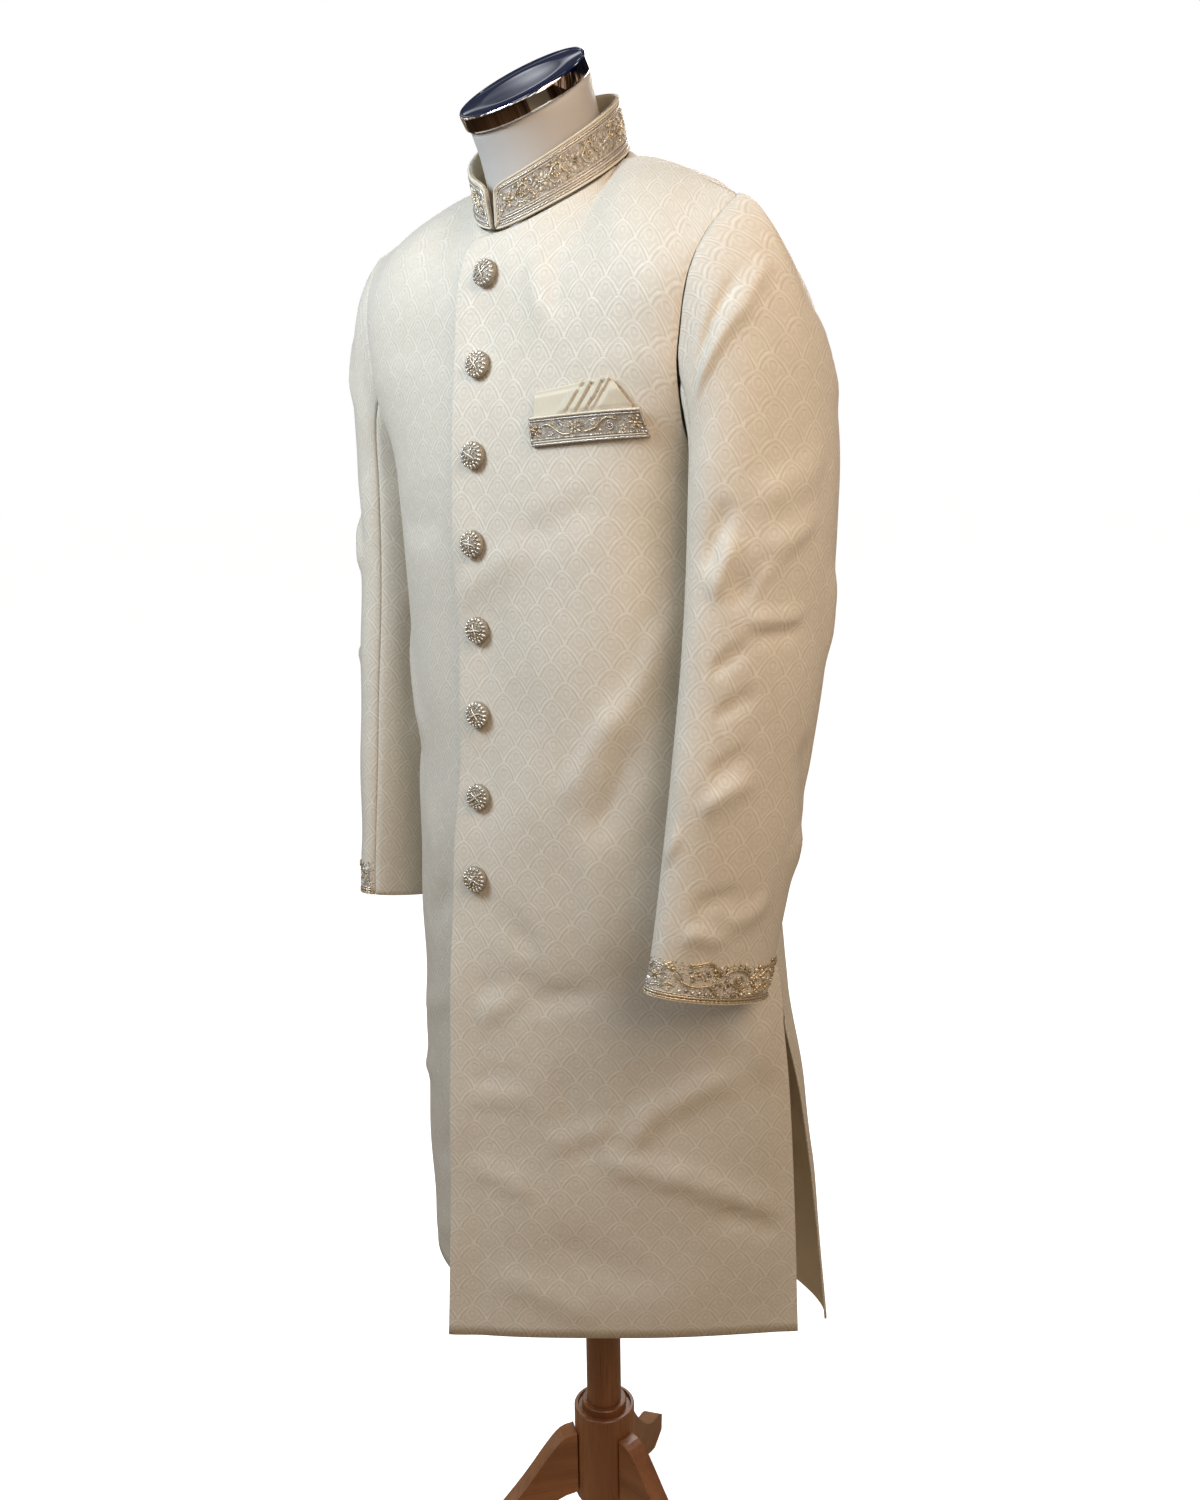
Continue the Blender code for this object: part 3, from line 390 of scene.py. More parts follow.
def back_panel(tables, side, cols, fine=1):
    """Outer face of a back as a grid [row from the hem up, column from the side]."""
    u = shares(cols)
    heights = panel_heights(fine)
    body = calmed(back_row, tables, heights, u)
    under = back_row(tables, np.full(cols, YOKE - 0.01), u)
    neck_share = BACK_SHOULDER_SHARE
    seam = shoulder_seam(1 - np.clip(u / neck_share, 0, 1))
    seam[:, 1] += SEAM_GAP / 2
    turn = NECK_POINT_TURN + (180 - NECK_POINT_TURN) * np.clip((u - neck_share) / (1 - neck_share), 0, 1)
    neck = neck_line(turn)
    neck[:, 0] = np.maximum(neck[:, 0], SEAM_GAP / 2)
    top = np.where((u < neck_share)[:, None], seam, neck)
    blend = ease((u - neck_share) / (1 - neck_share))[:, None]
    slope = np.array([-0.05, -1.0, -0.06]) * (1 - blend) + np.array([0.0, -0.75, 0.8]) * blend
    blend_end = ease((0.2 - u) / 0.2)[:, None]
    slope = slope * (1 - blend_end) + np.array([0.25, -0.85, 0.75]) * blend_end
    upper = yoke(body[-1], under, top, slope, np.linspace(0, 1, YOKE_ROWS * fine + 1)[1:])
    grid = np.concatenate([body, upper])
    grid[:len(heights), 0, :2] += side_seam_shift(heights)
    grid[..., 0] *= side
    return grid


def side_seam_shift(heights):
    """Moves the back's side edge along the seam by the seam gap, above the vent."""
    closed = (heights > VENT_TOP - 0.02)[:, None]
    return closed * np.array([[0.0, SEAM_GAP]])


def sleeve_ring(height, angle):
    """Point on a sleeve ring; angle 0 faces out, 90 forward, 180 in, 270 back."""
    get = lambda name: read(SLEEVE, SLEEVE_COLUMNS, name, height)
    a, turn = np.radians(angle), np.radians(get("turn"))
    across, along = get("half_width") * np.cos(a), get("half_depth") * np.sin(a)
    x = get("x") + across * np.cos(turn) - along * np.sin(turn)
    y = get("y") - across * np.sin(turn) - along * np.cos(turn)
    z = height + along * np.tan(np.radians(get("tip")))
    return np.stack([x, y, z], -1)


def armhole(angle):
    """Point on the armhole for a sleeve angle: 0 the shoulder end, 180 the underarm."""
    share = np.abs((angle + 180) % 360 - 180) / 180
    height = SHOULDER_END[2] - (SHOULDER_END[2] - UNDERARM) * (1 - np.cos(np.pi * share)) / 2
    ahead, behind = front_panel(LEFT_FRONT, 1, 2)[:, -1], back_panel(LEFT, 1, 2)[:, 0]
    x, y = (np.where(angle % 360 < 180, np.interp(height, ahead[:, 2], ahead[:, k]),
                     np.interp(height, behind[:, 2], behind[:, k])) for k in (0, 1))
    return np.stack([x + SEAM_GAP, y, height], -1)


def sleeve_piece(first, last, side, cols, rows, cap_rows):
    """Outer face of a sleeve piece between two angles, grid [row from the cuff up, column]."""
    angle = np.linspace(first, last, cols)
    low, high = SLEEVE[0][0], SLEEVE[-1][0]
    heights = np.linspace(low, high, rows)
    tube = sleeve_ring(heights[:, None] + 0 * angle[None], angle[None] + 0 * heights[:, None])
    under = sleeve_ring(np.full(cols, high - 0.01), angle)
    top = armhole(angle)
    outward = (1 + np.cos(np.radians(angle)))[:, None] / 2
    slope = np.array([-1.0, 0.0, 0.30]) * outward + np.array([-0.25, 0.0, 0.6]) * (1 - outward)
    length = np.linalg.norm(top - tube[-1], axis=-1, keepdims=True)
    c1 = tube[-1] + unit(tube[-1] - under) * length * (0.30 + 0.16 * outward)
    c2 = top - unit(slope) * length * (0.20 + 0.04 * outward)
    v = np.linspace(0, 1, cap_rows + 1)[1:, None, None]
    cap = bezier(tube[-1][None], c1[None], c2[None], top[None], v)
    grid = np.concatenate([tube, cap])
    if side < 0:
        grid[..., 0] += RIGHT_CUFF_OUT * (1 - ease((grid[..., 2] - low) / 0.22))
    grid[..., 0] *= side
    return grid


def collar_band(cols, rows):
    """Outer face of the collar, from its left end round the back to its right end."""
    v = np.linspace(0, 1, rows)[:, None]
    height = COLLAR_TOP[3] - COLLAR_FOOT[3]
    u = np.linspace(0, 1, cols)[None]
    end_turn = COLLAR_HALF_OPENING + 3.0 * v
    turn = COLLAR_CENTRE_TURN + end_turn + (360 - 2 * end_turn) * u
    foot, top = collar_edge(COLLAR_FOOT, turn), collar_edge(COLLAR_TOP, turn)
    from_end = np.radians(np.minimum(turn - COLLAR_CENTRE_TURN - COLLAR_HALF_OPENING,
                                     COLLAR_CENTRE_TURN + 360 - COLLAR_HALF_OPENING - turn)) * 0.066
    inside = np.clip(1 - from_end / COLLAR_CORNER, 0, 1)
    drop = COLLAR_CORNER * (1 - np.sqrt(np.clip(1 - inside**2, 0, 1))) * 0.75
    share = v * (1 - drop / height)
    return foot + (top - foot) * share[..., None] + np.array([0, 0, 0.0006])


def wall_directions(grid, sign):
    """Unit vectors out of a grid's face at each point."""
    across, up = np.gradient(grid, axis=1, edge_order=2), np.gradient(grid, axis=0, edge_order=2)
    return unit(np.cross(across, up)) * sign


# ---- pieces of the coat
def panel_pair(side, front_cols, back_cols, fine=1):
    """A front and a back with their wall directions, mitred where they are sewn together."""
    tables = LEFT if side > 0 else RIGHT
    front, back = front_panel(tables[0], side, front_cols, fine), back_panel(tables, side, back_cols, fine)
    front_out, back_out = wall_directions(front, side), wall_directions(back, side)
    sewn = (front[:, -1, 2] > VENT_TOP - 0.02) & (front[:, -1, 2] < UNDERARM + 0.001)
    shared = unit(front_out[sewn, -1] + back_out[sewn, 0])
    front_out[sewn, -1] = back_out[sewn, 0] = shared
    on_seam = shares(front_cols) > FRONT_NECK_SHARE
    front_out[-1, on_seam] = unit(np.array([0.3 * side, 0.0, 1.0]))
    on_seam = shares(back_cols) < BACK_SHOULDER_SHARE
    back_out[-1, on_seam] = unit(np.array([0.3 * side, 0.0, 1.0]))
    return front, front_out, back, back_out


# ---- the form and its stand
def coat_reach(height, turn):
    """Distance from the pole's line out to the nearer side of the coat, turned from the front."""
    share = np.linspace(0, 1, 120)
    level = np.full(share.shape, height)
    reach = []
    for tables in (LEFT, RIGHT):
        row = np.concatenate([front_row(tables[0], level, 0.12 + 0.88 * share),
                              back_row(tables, level, share)])
        x, y = row[:, 0], row[:, 1] - FORM_MIDDLE
        reach.append(np.interp(turn, np.arctan2(x, -y), np.hypot(x, y)))
    return np.minimum(*reach)


def torso_rings(around):
    """Rings of the form from its base up inside the coat, over the shoulders and up the neck."""
    turn = np.linspace(0, 2 * np.pi, around, endpoint=False)
    ahead = (np.pi - np.abs(np.pi - turn))
    rings = []
    for height, shrink in TORSO:
        reach = coat_reach(height, ahead) - FORM_INSET - shrink
        rings.append(np.stack([reach * np.sin(turn), FORM_MIDDLE - reach * np.cos(turn),
                               np.full(around, height)], -1))
    for height, width, front, back in SHOULDERS:
        middle, half = (front + back) / 2, (back - front) / 2
        rings.append(np.stack([width * np.sin(turn), middle - half * np.cos(turn),
                               np.full(around, height)], -1))
    for height, middle, radius, tilt in NECK:
        lean = math.radians(tilt)
        rings.append(np.stack([radius * np.sin(turn), middle - radius * np.cos(turn) * math.cos(lean),
                               height - radius * np.cos(turn) * math.sin(lean)], -1))
    return np.array(rings)


FORM_MIDDLE = -0.025
# height, and how much further in the form is than its inset there
TORSO = ((0.790, 0.012), (0.796, 0.004), (0.840, 0.000), (0.900, 0.000), (0.980, 0.000), (1.060, 0.000),
         (1.140, 0.000), (1.200, 0.002), (1.250, 0.006), (1.300, 0.006), (1.335, 0.008))
# height, half width, front and back of each ring over the shoulders
SHOULDERS = ((1.370, 0.176, -0.098, 0.066), (1.396, 0.156, -0.091, 0.050),
             (1.412, 0.124, -0.087, 0.038), (1.422, 0.092, -0.088, 0.027))
# height, middle in y, radius and forward tilt of each ring up the neck
NECK = ((1.437, -0.0400, 0.0575, 8.0), (1.453, -0.0430, 0.0556, 14.0), (1.475, -0.0485, 0.0553, 21.0),
        (1.500, -0.0568, 0.0560, 29.0), (1.5228, -0.0662, 0.0578, 35.0))

# ---- shaping the cloth
ROWS_FINE = 8             # steps of cloth for each step of the frame's panels
PANEL_COLS = 85
SLEEVE_COLS = 61
SLEEVE_ROWS = 76
CAP_ROWS = 44
CUFF_ROWS = 9             # rows of the sleeve, from its foot, that the cuff's work covers
SEAM_DIP = 0.0009         # how far a sewn edge sinks
SEAM_REACH = 0.0026       # how far from the edge it starts to sink
CREASE_DEPTH = 1.80       # share of the depths below that is pressed in
CREASE_END = 0.18         # how far past its ends a crease runs out, as a share of its length
EDGE_LIFT = 0.0036        # how far the left front's free edge rolls off the right front
FOLD_EDGE = 0.00025       # how proud the middle of a turned edge stands
CALM_REACH = 0.040        # how far up and down the chest of a panel is evened out
CALM_LEVELS = (1.110, 1.315)  # where that starts and ends
CALM_EASE = 0.070         # height over which it comes in at each of them
ARM_RADIUS = 0.058        # turns an angle round a sleeve into a length

# Creases pressed into a piece, in millimetres: start and end on the piece (x and height on a front
# or back, degrees round and height on a sleeve), half width, and depth, with ridges above zero.
FRONT_LEFT_CREASES = (
    (178, 1120, 161, 1050, 10, 2.2), (165, 1060, 128, 985, 10, 2.6), (138, 1000, 86, 925, 11, 2.4),
    (178, 1085, 168, 1010, 9, -2.2), (150, 975, 110, 895, 12, -2.6), (57, 1152, -20, 1088, 13, 1.6),
    (136, 1182, 52, 1158, 14, -1.6), (0, 812, 54, 768, 12, -2), (2, 728, 64, 742, 8, -1.8),
    (36, 708, 104, 742, 9, -2.2), (4, 696, 46, 722, 9, 1.8), (-4, 623, 46, 623, 7, 2),
    (-2, 635, 42, 635, 6, -1.6), (64, 576, 106, 604, 8, 2), (118, 586, 150, 624, 9, 2.2),
    (146, 618, 198, 648, 10, 2), (100, 572, 160, 546, 9, 2.4), (152, 552, 212, 500, 10, 2.6),
    (176, 506, 216, 490, 8, -2.2), (-4, 550, 42, 522, 9, 1.8), (16, 431, 94, 394, 14, 2),
    (196, 705, 216, 650, 10, 2.2), (122, 890, 103, 760, 16, 1.8), (30, 1020, 12, 900, 20, -1.2),
    (60, 470, 140, 440, 16, -1.4), (75, 660, 100, 560, 18, -1.4), (40, 1386, 78, 1330, 14, 1.4),
    (72, 1388, 98, 1335, 12, -1.4),
)
FRONT_RIGHT_CREASES = (
    (172, 1100, 150, 1020, 11, 2.4), (152, 1030, 105, 955, 12, 2.4), (160, 985, 120, 905, 12, -2.4),
    (60, 1150, 130, 1165, 14, -1.5), (50, 800, 110, 770, 13, -2), (70, 690, 150, 660, 12, 2),
    (120, 600, 196, 560, 12, 2.2), (60, 540, 130, 500, 13, -1.8), (50, 440, 150, 410, 16, 1.8),
    (100, 880, 85, 760, 17, 1.6),
)
BACK_LEFT_CREASES = (
    (170, 1110, 110, 1050, 13, 2.6), (150, 1050, 60, 1005, 14, 2.4), (165, 1075, 80, 1025, 12, -2.6),
    (120, 960, 30, 935, 14, -2.2), (180, 800, 100, 720, 16, 2.4), (150, 640, 60, 600, 16, -2.2),
    (200, 560, 110, 500, 16, 2.2), (130, 1300, 70, 1200, 22, 2), (60, 1390, 20, 1300, 20, -1.8),
    (90, 460, 30, 420, 18, 1.8),
)
BACK_RIGHT_CREASES = (
    (172, 1130, 95, 1080, 13, 2.4), (160, 1020, 70, 985, 14, 2.6), (168, 1050, 85, 1010, 12, -2.4),
    (110, 900, 20, 880, 15, -2), (185, 760, 90, 690, 16, 2.2), (160, 600, 80, 570, 16, -2.2),
    (190, 500, 100, 450, 17, 2), (120, 1280, 60, 1190, 22, 1.8),
)
SLEEVE_UPPER_CREASES = (
    (20, 1330, 46, 1310, 10, 2.6), (44, 1310, 86, 1313.5, 10, 2.2), (44, 1337, 80, 1342, 9, -2),
    (50, 1176, 78, 1132, 10, -2.6), (44, 1148, 70, 1106, 10, 2.8), (-8, 1168, 30, 1114, 11, 3),
    (16, 1140, 46, 1098, 8, -2.6), (32, 1078, -8, 1076, 7, -2.4), (32, 1091, -8, 1088, 8, 2.4),
    (60, 1044, 32, 1062, 6, -2.2), (52, 1008, 22, 1023, 6, -2.2), (49, 961, 20, 975, 6, -2.2),
    (54, 932, 12, 950, 9, 2.8), (34, 1193, -18, 1203, 12, 2.4), (48, 824, 15, 811, 8, 2.4),
    (14, 833, -20, 853, 9, 2.4), (44, 848, 8, 853, 8, -2.2), (-40, 1120, -70, 1060, 12, 2.4),
    (-30, 980, -72, 940, 12, -2.4), (-45, 900, -80, 880, 12, 2.2), (70, 900, 100, 880, 10, 1.8),
    (-25, 1300, -60, 1260, 14, 2.2),
)
SLEEVE_UPPER_AWAY_CREASES = (
    (24, 1320, 60, 1280, 11, 2.4), (40, 1180, 76, 1130, 11, -2.4), (38, 1150, 72, 1104, 10, 2.6),
    (-10, 1140, 30, 1100, 12, 2.8), (30, 1060, -12, 1080, 9, -2.4), (56, 1010, 20, 1026, 8, 2.4),
    (50, 950, 14, 972, 8, -2.2), (44, 880, 4, 862, 10, 2.4), (-30, 1110, -66, 1050, 12, 2.4),
    (-28, 960, -70, 930, 12, -2.4),
)
SLEEVE_UNDER_CREASES = (
    (150, 1150, 200, 1120, 10, 1.4), (140, 1060, 190, 1040, 10, -1.4), (150, 930, 220, 950, 12, 1.4),
    (200, 1020, 240, 990, 10, 1.4),
)


def pressed(x, y, creases):
    """How far each point of a piece is pressed out of its face.

    Each crease is a bell across its line, steeper on one side than on the other, times a smooth
    rise and fall from its start to its end, and all of them are added.
    """
    height = np.zeros_like(x)
    for x0, y0, x1, y1, width, depth in mm(*creases):
        length = math.hypot(x1 - x0, y1 - y0)
        along = ((x - x0) * (x1 - x0) + (y - y0) * (y1 - y0)) / length**2
        across = ((x - x0) * (y1 - y0) - (y - y0) * (x1 - x0)) / length
        across = across + width * 0.5 * np.sin(2.6 * along + 40 * x0)
        half = width * np.where(across > 0, 0.72, 1.25)
        ends = ease((along + CREASE_END) / 0.45) * ease((1 + CREASE_END - along) / 0.45)
        height += CREASE_DEPTH * depth * np.exp(-(across / half) ** 2) * ends
    return height


def run_length(grid, axis):
    """Length of cloth from the first row or column to each point."""
    step = np.linalg.norm(np.diff(grid, axis=axis), axis=-1)
    zero = np.zeros_like(np.take(step, [0], axis=axis))
    return np.cumsum(np.concatenate([zero, step], axis=axis), axis=axis)


def from_edges(grid):
    """Length of cloth from each point to the first and last column and the first and last row."""
    across, up = run_length(grid, 1), run_length(grid, 0)
    return across, across[:, -1:] - across, up, up[-1:] - up


def sink(distance):
    """Depth below the face at a distance from a sewn edge."""
    return SEAM_DIP * np.exp(-(distance / SEAM_REACH) ** 2)


# ---- putting pieces in the scene
def put(name, points, quads, triangles, finishes, slot, attributes, replaced=()):
    """A piece from its points and faces, at the origin, riding on the frame's one body."""
    mesh = bpy.data.meshes.new(name)
    mesh.from_pydata(points.reshape(-1, 3).tolist(), [], quads.tolist() + triangles.tolist())
    mesh.shade_smooth()
    for word, values in attributes.items():
        made = mesh.attributes.new(word, "FLOAT_VECTOR", "POINT")
        made.data.foreach_set("vector", np.ascontiguousarray(values, dtype=np.float32).ravel())
    for finish in finishes:
        mesh.materials.append(bpy.data.materials[finish])
    mesh.validate()
    piece = bpy.data.objects.new(name, mesh)
    bpy.context.scene.collection.objects.link(piece)
    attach(piece, "root")
    if replaced:
        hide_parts(*replaced)
    return piece


NO_FACES = np.zeros((0, 3), int)


def tube_faces(count, around):
    """Quads round a stack of rings, and a fan from each end ring to one of the two points that
    follow the rings.  They face out where the rings run counter-clockwise and rise."""
    index = np.arange(count * around).reshape(count, around)
    ahead = np.roll(index, -1, axis=1)
    quads = np.stack([index[:-1], ahead[:-1], ahead[1:], index[1:]], -1).reshape(-1, 4)
    first = np.full(around, count * around)
    fans = np.concatenate([np.stack([ahead[0], index[0], first], -1),
                           np.stack([index[-1], ahead[-1], first + 1], -1)])
    return quads, fans


def turned_over(quads):
    """The same quads facing the other way, each still starting at its own first corner."""
    return np.roll(quads[:, ::-1], 1, axis=1)


def sheet_faces(rows, cols):
    """Quads of a grid of points, counter-clockwise across and then up."""
    index = np.arange(rows * cols).reshape(rows, cols)
    return np.stack([index[:-1, :-1], index[:-1, 1:], index[1:, 1:], index[1:, :-1]], -1).reshape(-1, 4)


def cloth_piece(name, grid, out, weave, node, finish="ivory_brocade", slot="cloth", wall=WALL):
    """A closed piece of cloth: its face is the grid, its back lies a wall inside it, and a rounded
    edge with one proud loop joins the two all the way round."""
    rows, cols = grid.shape[:2]
    index = np.arange(rows * cols).reshape(rows, cols)
    face = sheet_faces(rows, cols)
    edge = np.concatenate([index[0], index[1:, -1], index[-1, -2::-1], index[-2:0:-1, 0]])
    inward = np.concatenate([index[1], index[1:, -2], index[-2, -2::-1], index[-2:0:-1, 1]])
    count, total = len(edge), rows * cols
    flat, outs = grid.reshape(-1, 3), out.reshape(-1, 3)
    away = unit(flat[edge] - flat[inward])
    middle = flat[edge] - outs[edge] * wall / 2 + away * FOLD_EDGE
    points = np.concatenate([flat, flat - outs * wall, middle])
    here = np.arange(count)
    ahead = np.roll(here, -1)
    loop = here + 2 * total, ahead + 2 * total
    rim = np.concatenate([np.stack([edge[ahead], edge, loop[0], loop[1]], -1),
                          np.stack([loop[1], loop[0], edge + total, edge[ahead] + total], -1)])
    faces = np.concatenate([face, face[:, ::-1] + total, rim])
    across, up = grid[0, 1] - grid[0, 0], grid[1, 0] - grid[0, 0]
    if np.dot(np.cross(across, up), out[0, 0]) < 0:
        faces = faces[:, ::-1]
    face_side, back_side = np.ones(total), np.zeros(total)
    laid = weave.reshape(-1, 2)
    laid = np.concatenate([np.column_stack([laid, face_side]), np.column_stack([laid, back_side]),
                           np.column_stack([laid[edge], np.ones(count)])])
    return put(name, points, faces, NO_FACES, [finish], slot, {"weave": laid}, (node,))


def surface_map(grid, out, width, height, from_last=False):
    """Function that takes points laid out flat (along, up, off) on to a face, in metres.

    Lengths along and up turn into places on the grid, and the face's own point and outward
    direction there are mixed from the four round it.
    """
    rows, cols = grid.shape[:2]

    def place(flat):
        along = cols - 1 - flat[:, 0] / width * (cols - 1) if from_last else flat[:, 0] / width * (cols - 1)
        c = np.clip(along, 0, cols - 1.001)
        r = np.clip(flat[:, 1] / height * (rows - 1), 0, rows - 1.001)
        i, j = r.astype(int), c.astype(int)
        a, b = (r - i)[:, None], (c - j)[:, None]
        mix = lambda g: ((g[i, j] * (1 - b) + g[i, j + 1] * b) * (1 - a)
                         + (g[i + 1, j] * (1 - b) + g[i + 1, j + 1] * b) * a)
        return mix(grid) + unit(mix(out)) * flat[:, 2:]
    return place


# ---- embroidery, laid out flat
GOLD, SILVER, CREAM, PALE = (0.85, 1.0, 0.66), (0.12, 1.0, 0.68), (0.5, 0.0, 0.92), (0.3, 0.35, 0.92)


def ball(around):
    """Unit ball: three rings of points and two poles, with its quads and triangles."""
    turn = np.arange(around) * 2 * np.pi / around
    rings = [np.stack([np.cos(turn) * np.cos(e), np.sin(turn) * np.cos(e), np.full(around, np.sin(e))], -1)
             for e in np.radians([-45, 0, 45])]
    points = np.concatenate(rings + [[[0, 0, -1]], [[0, 0, 1]]])
    here = np.arange(around)
    ahead = (here + 1) % around
    quads = np.concatenate([np.stack([here + k, ahead + k, ahead + k + around, here + k + around], -1)
                            for k in (0, around)])
    low, high = 3 * around, 3 * around + 1
    triangles = np.concatenate([np.stack([ahead, here, here * 0 + low], -1),
                                np.stack([here + 2 * around, ahead + 2 * around, here * 0 + high], -1)])
    return points, quads, triangles


def grit():
    """Unit octahedron, for the small sequins that fill the ground."""
    points = np.array([[1, 0, 0], [0, 1, 0], [-1, 0, 0], [0, -1, 0], [0, 0, 1], [0, 0, -1]], float)
    triangles = np.array([[0, 1, 4], [1, 2, 4], [2, 3, 4], [3, 0, 4],
                          [1, 0, 5], [2, 1, 5], [3, 2, 5], [0, 3, 5]])
    return points, np.zeros((0, 4), int), triangles


class Work:
    """Embroidery laid out flat in metres: along, up and off the cloth, each point with its thread."""

    def __init__(self, seed, bold=1.0):
        self.bold = bold
        self.points, self.quads, self.triangles, self.thread = [], [], [], []
        self.count = 0
        self.random = np.random.default_rng(seed)

    def add(self, points, quads, triangles, thread):
        self.points.append(points)
        self.quads.append(quads + self.count)
        self.triangles.append(triangles + self.count)
        self.thread.append(np.broadcast_to(np.asarray(thread, float), points.shape))
        self.count += len(points)

    def blobs(self, shape, centres, sizes, turns, thread, lift=0.5):
        """Copies of a small shape, each stretched to its size, turned and set down on the cloth."""
        base, quads, triangles = shape
        centres = np.atleast_2d(np.asarray(centres, float))
        n = len(centres)
        sizes = np.broadcast_to(np.asarray(sizes, float), (n, 3))
        turns = np.broadcast_to(np.asarray(turns, float), (n,))
        p = base[None] * sizes[:, None]
        c, s = np.cos(turns)[:, None], np.sin(turns)[:, None]
        p = np.stack([p[..., 0] * c - p[..., 1] * s, p[..., 0] * s + p[..., 1] * c, p[..., 2]], -1)
        p[..., :2] += centres[:, None]
        p[..., 2] += sizes[:, None, 2] * lift
        shift = (np.arange(n) * len(base))[:, None, None]
        thread = np.broadcast_to(np.asarray(thread, float), (n, 3)).copy()
        thread[:, 2] = np.clip(thread[:, 2] + self.random.uniform(-0.35, 0.35, n), 0, 1)
        thread[:, 0] = np.clip(thread[:, 0] + self.random.uniform(-0.15, 0.15, n), 0, 1)
        self.add(p.reshape(-1, 3), (quads[None] + shift).reshape(-1, 4),
                 (triangles[None] + shift).reshape(-1, 3), np.repeat(thread, len(base), axis=0))

    def beads(self, centres, radius, thread=SILVER):
        radius = radius * self.bold
        self.blobs(BALL, centres, (radius, radius, radius), 0.0, thread)

    def petals(self, centre, count, radius, length, width, thread, first=0.0, height=0.0008):
        """Petals round a centre, each an egg shape lying along its own radius."""
        turn = first + np.arange(count) * 2 * np.pi / count
        at = np.asarray(centre) + np.stack([np.cos(turn), np.sin(turn)], -1) * radius
        self.blobs(BALL, at, (length / 2, width / 2, height), turn, thread)

    def cord(self, path, radius, thread=SILVER, twist=0.22, pitch=0.0042, around=8, lift=0.7):
        """Cord along a path: a round section with two lobes that turn once in every two pitches."""
        path = np.asarray(path, float)
        radius = radius * self.bold
        run = np.concatenate([[0], np.cumsum(np.linalg.norm(np.diff(path, axis=0), axis=1))])
        steps = max(6, int(run[-1] / (0.00085 if twist else 0.0014)))
        at = np.linspace(0, run[-1], steps)
        slot_of = np.interp(at, run, np.arange(len(path)))
        line = np.stack([smooth_at(np.arange(len(path)), path[:, k], slot_of) for k in (0, 1)], -1)
        ahead = unit(np.gradient(line, axis=0))
        side = np.stack([-ahead[:, 1], ahead[:, 0]], -1)
        a = np.arange(around) * 2 * np.pi / around
        size = radius * (1 - twist + twist * np.cos(2 * (a[None] - np.pi * at[:, None] / pitch)))
        taper = np.minimum(1, np.minimum(np.arange(steps), np.arange(steps)[::-1]) * 0.45 + 0.1)
        size = size * taper[:, None]
        x = line[:, None] + side[:, None] * (np.cos(a)[None] * size)[..., None]
        h = np.sin(a)[None] * size + radius * lift
        p = np.concatenate([x, h[..., None]], -1).reshape(-1, 3)
        tips = np.concatenate([line[[0, -1]], np.full((2, 1), radius * lift)], -1)
        self.add(np.concatenate([p, tips]), *tube_faces(steps, around), thread)

    def spiral(self, centre, radius, turns, thread, size=0.0005, first=0.0):
        """Coiled thread: its radius shrinks evenly as it turns."""
        t = np.linspace(0, 1, int(14 * turns) + 2)
        a = first + 2 * np.pi * turns * t
        r = radius * (1 - 0.85 * t)
        path = np.asarray(centre) + np.stack([np.cos(a) * r, np.sin(a) * r], -1)
        self.cord(path, size, thread, twist=0.0, around=6)

    def flower(self, centre, radius, petal_thread, bead_thread, petals=6, first=0.3):
        """Petals round a ring of beads round a middle bead."""
        self.petals(centre, petals, radius * 0.70, radius * 0.60, radius * 0.42, petal_thread, first)
        self.petals(centre, petals, radius * 0.98, radius * 0.20, radius * 0.16, bead_thread,
                    first + np.pi / petals, 0.0007)
        turn = np.arange(7) * 2 * np.pi / 7
        ring = np.asarray(centre) + np.stack([np.cos(turn), np.sin(turn)], -1) * radius * 0.33
        self.beads(ring, radius * 0.13, bead_thread)
        self.beads([centre], radius * 0.20, bead_thread)

    def scatter(self, low, high, pitch, size, thread, keep=1.0):
        """Sequins over a rectangle, on a grid with every one moved a little."""
        nx, ny = max(1, int((high[0] - low[0]) / pitch)), max(1, int((high[1] - low[1]) / pitch))
        x, y = np.meshgrid(np.linspace(low[0], high[0], nx), np.linspace(low[1], high[1], ny))
        at = np.stack([x.ravel(), y.ravel()], -1) + self.random.uniform(-0.45, 0.45, (nx * ny, 2)) * pitch
        at = at[self.random.random(len(at)) < keep]
        sizes = size * self.random.uniform(0.7, 1.25, (len(at), 1)) * np.array([1.0, 1.0, 0.7])
        self.blobs(GRIT, at, sizes, self.random.uniform(0, 3, len(at)), thread, 0.6)

    def finish(self, name, place, flip=False, slot="embroidery", replaced=()):
        """Bends the work on to its piece and puts it in the scene."""
        quads, triangles = np.concatenate(self.quads), np.concatenate(self.triangles)
        if flip:
            quads, triangles = quads[:, ::-1], triangles[:, ::-1]
        return put(name, place(np.concatenate(self.points)), quads, triangles, ["metal_thread"], slot,
                   {"thread": np.concatenate(self.thread)}, replaced)


BALL, GRIT = ball(6), grit()


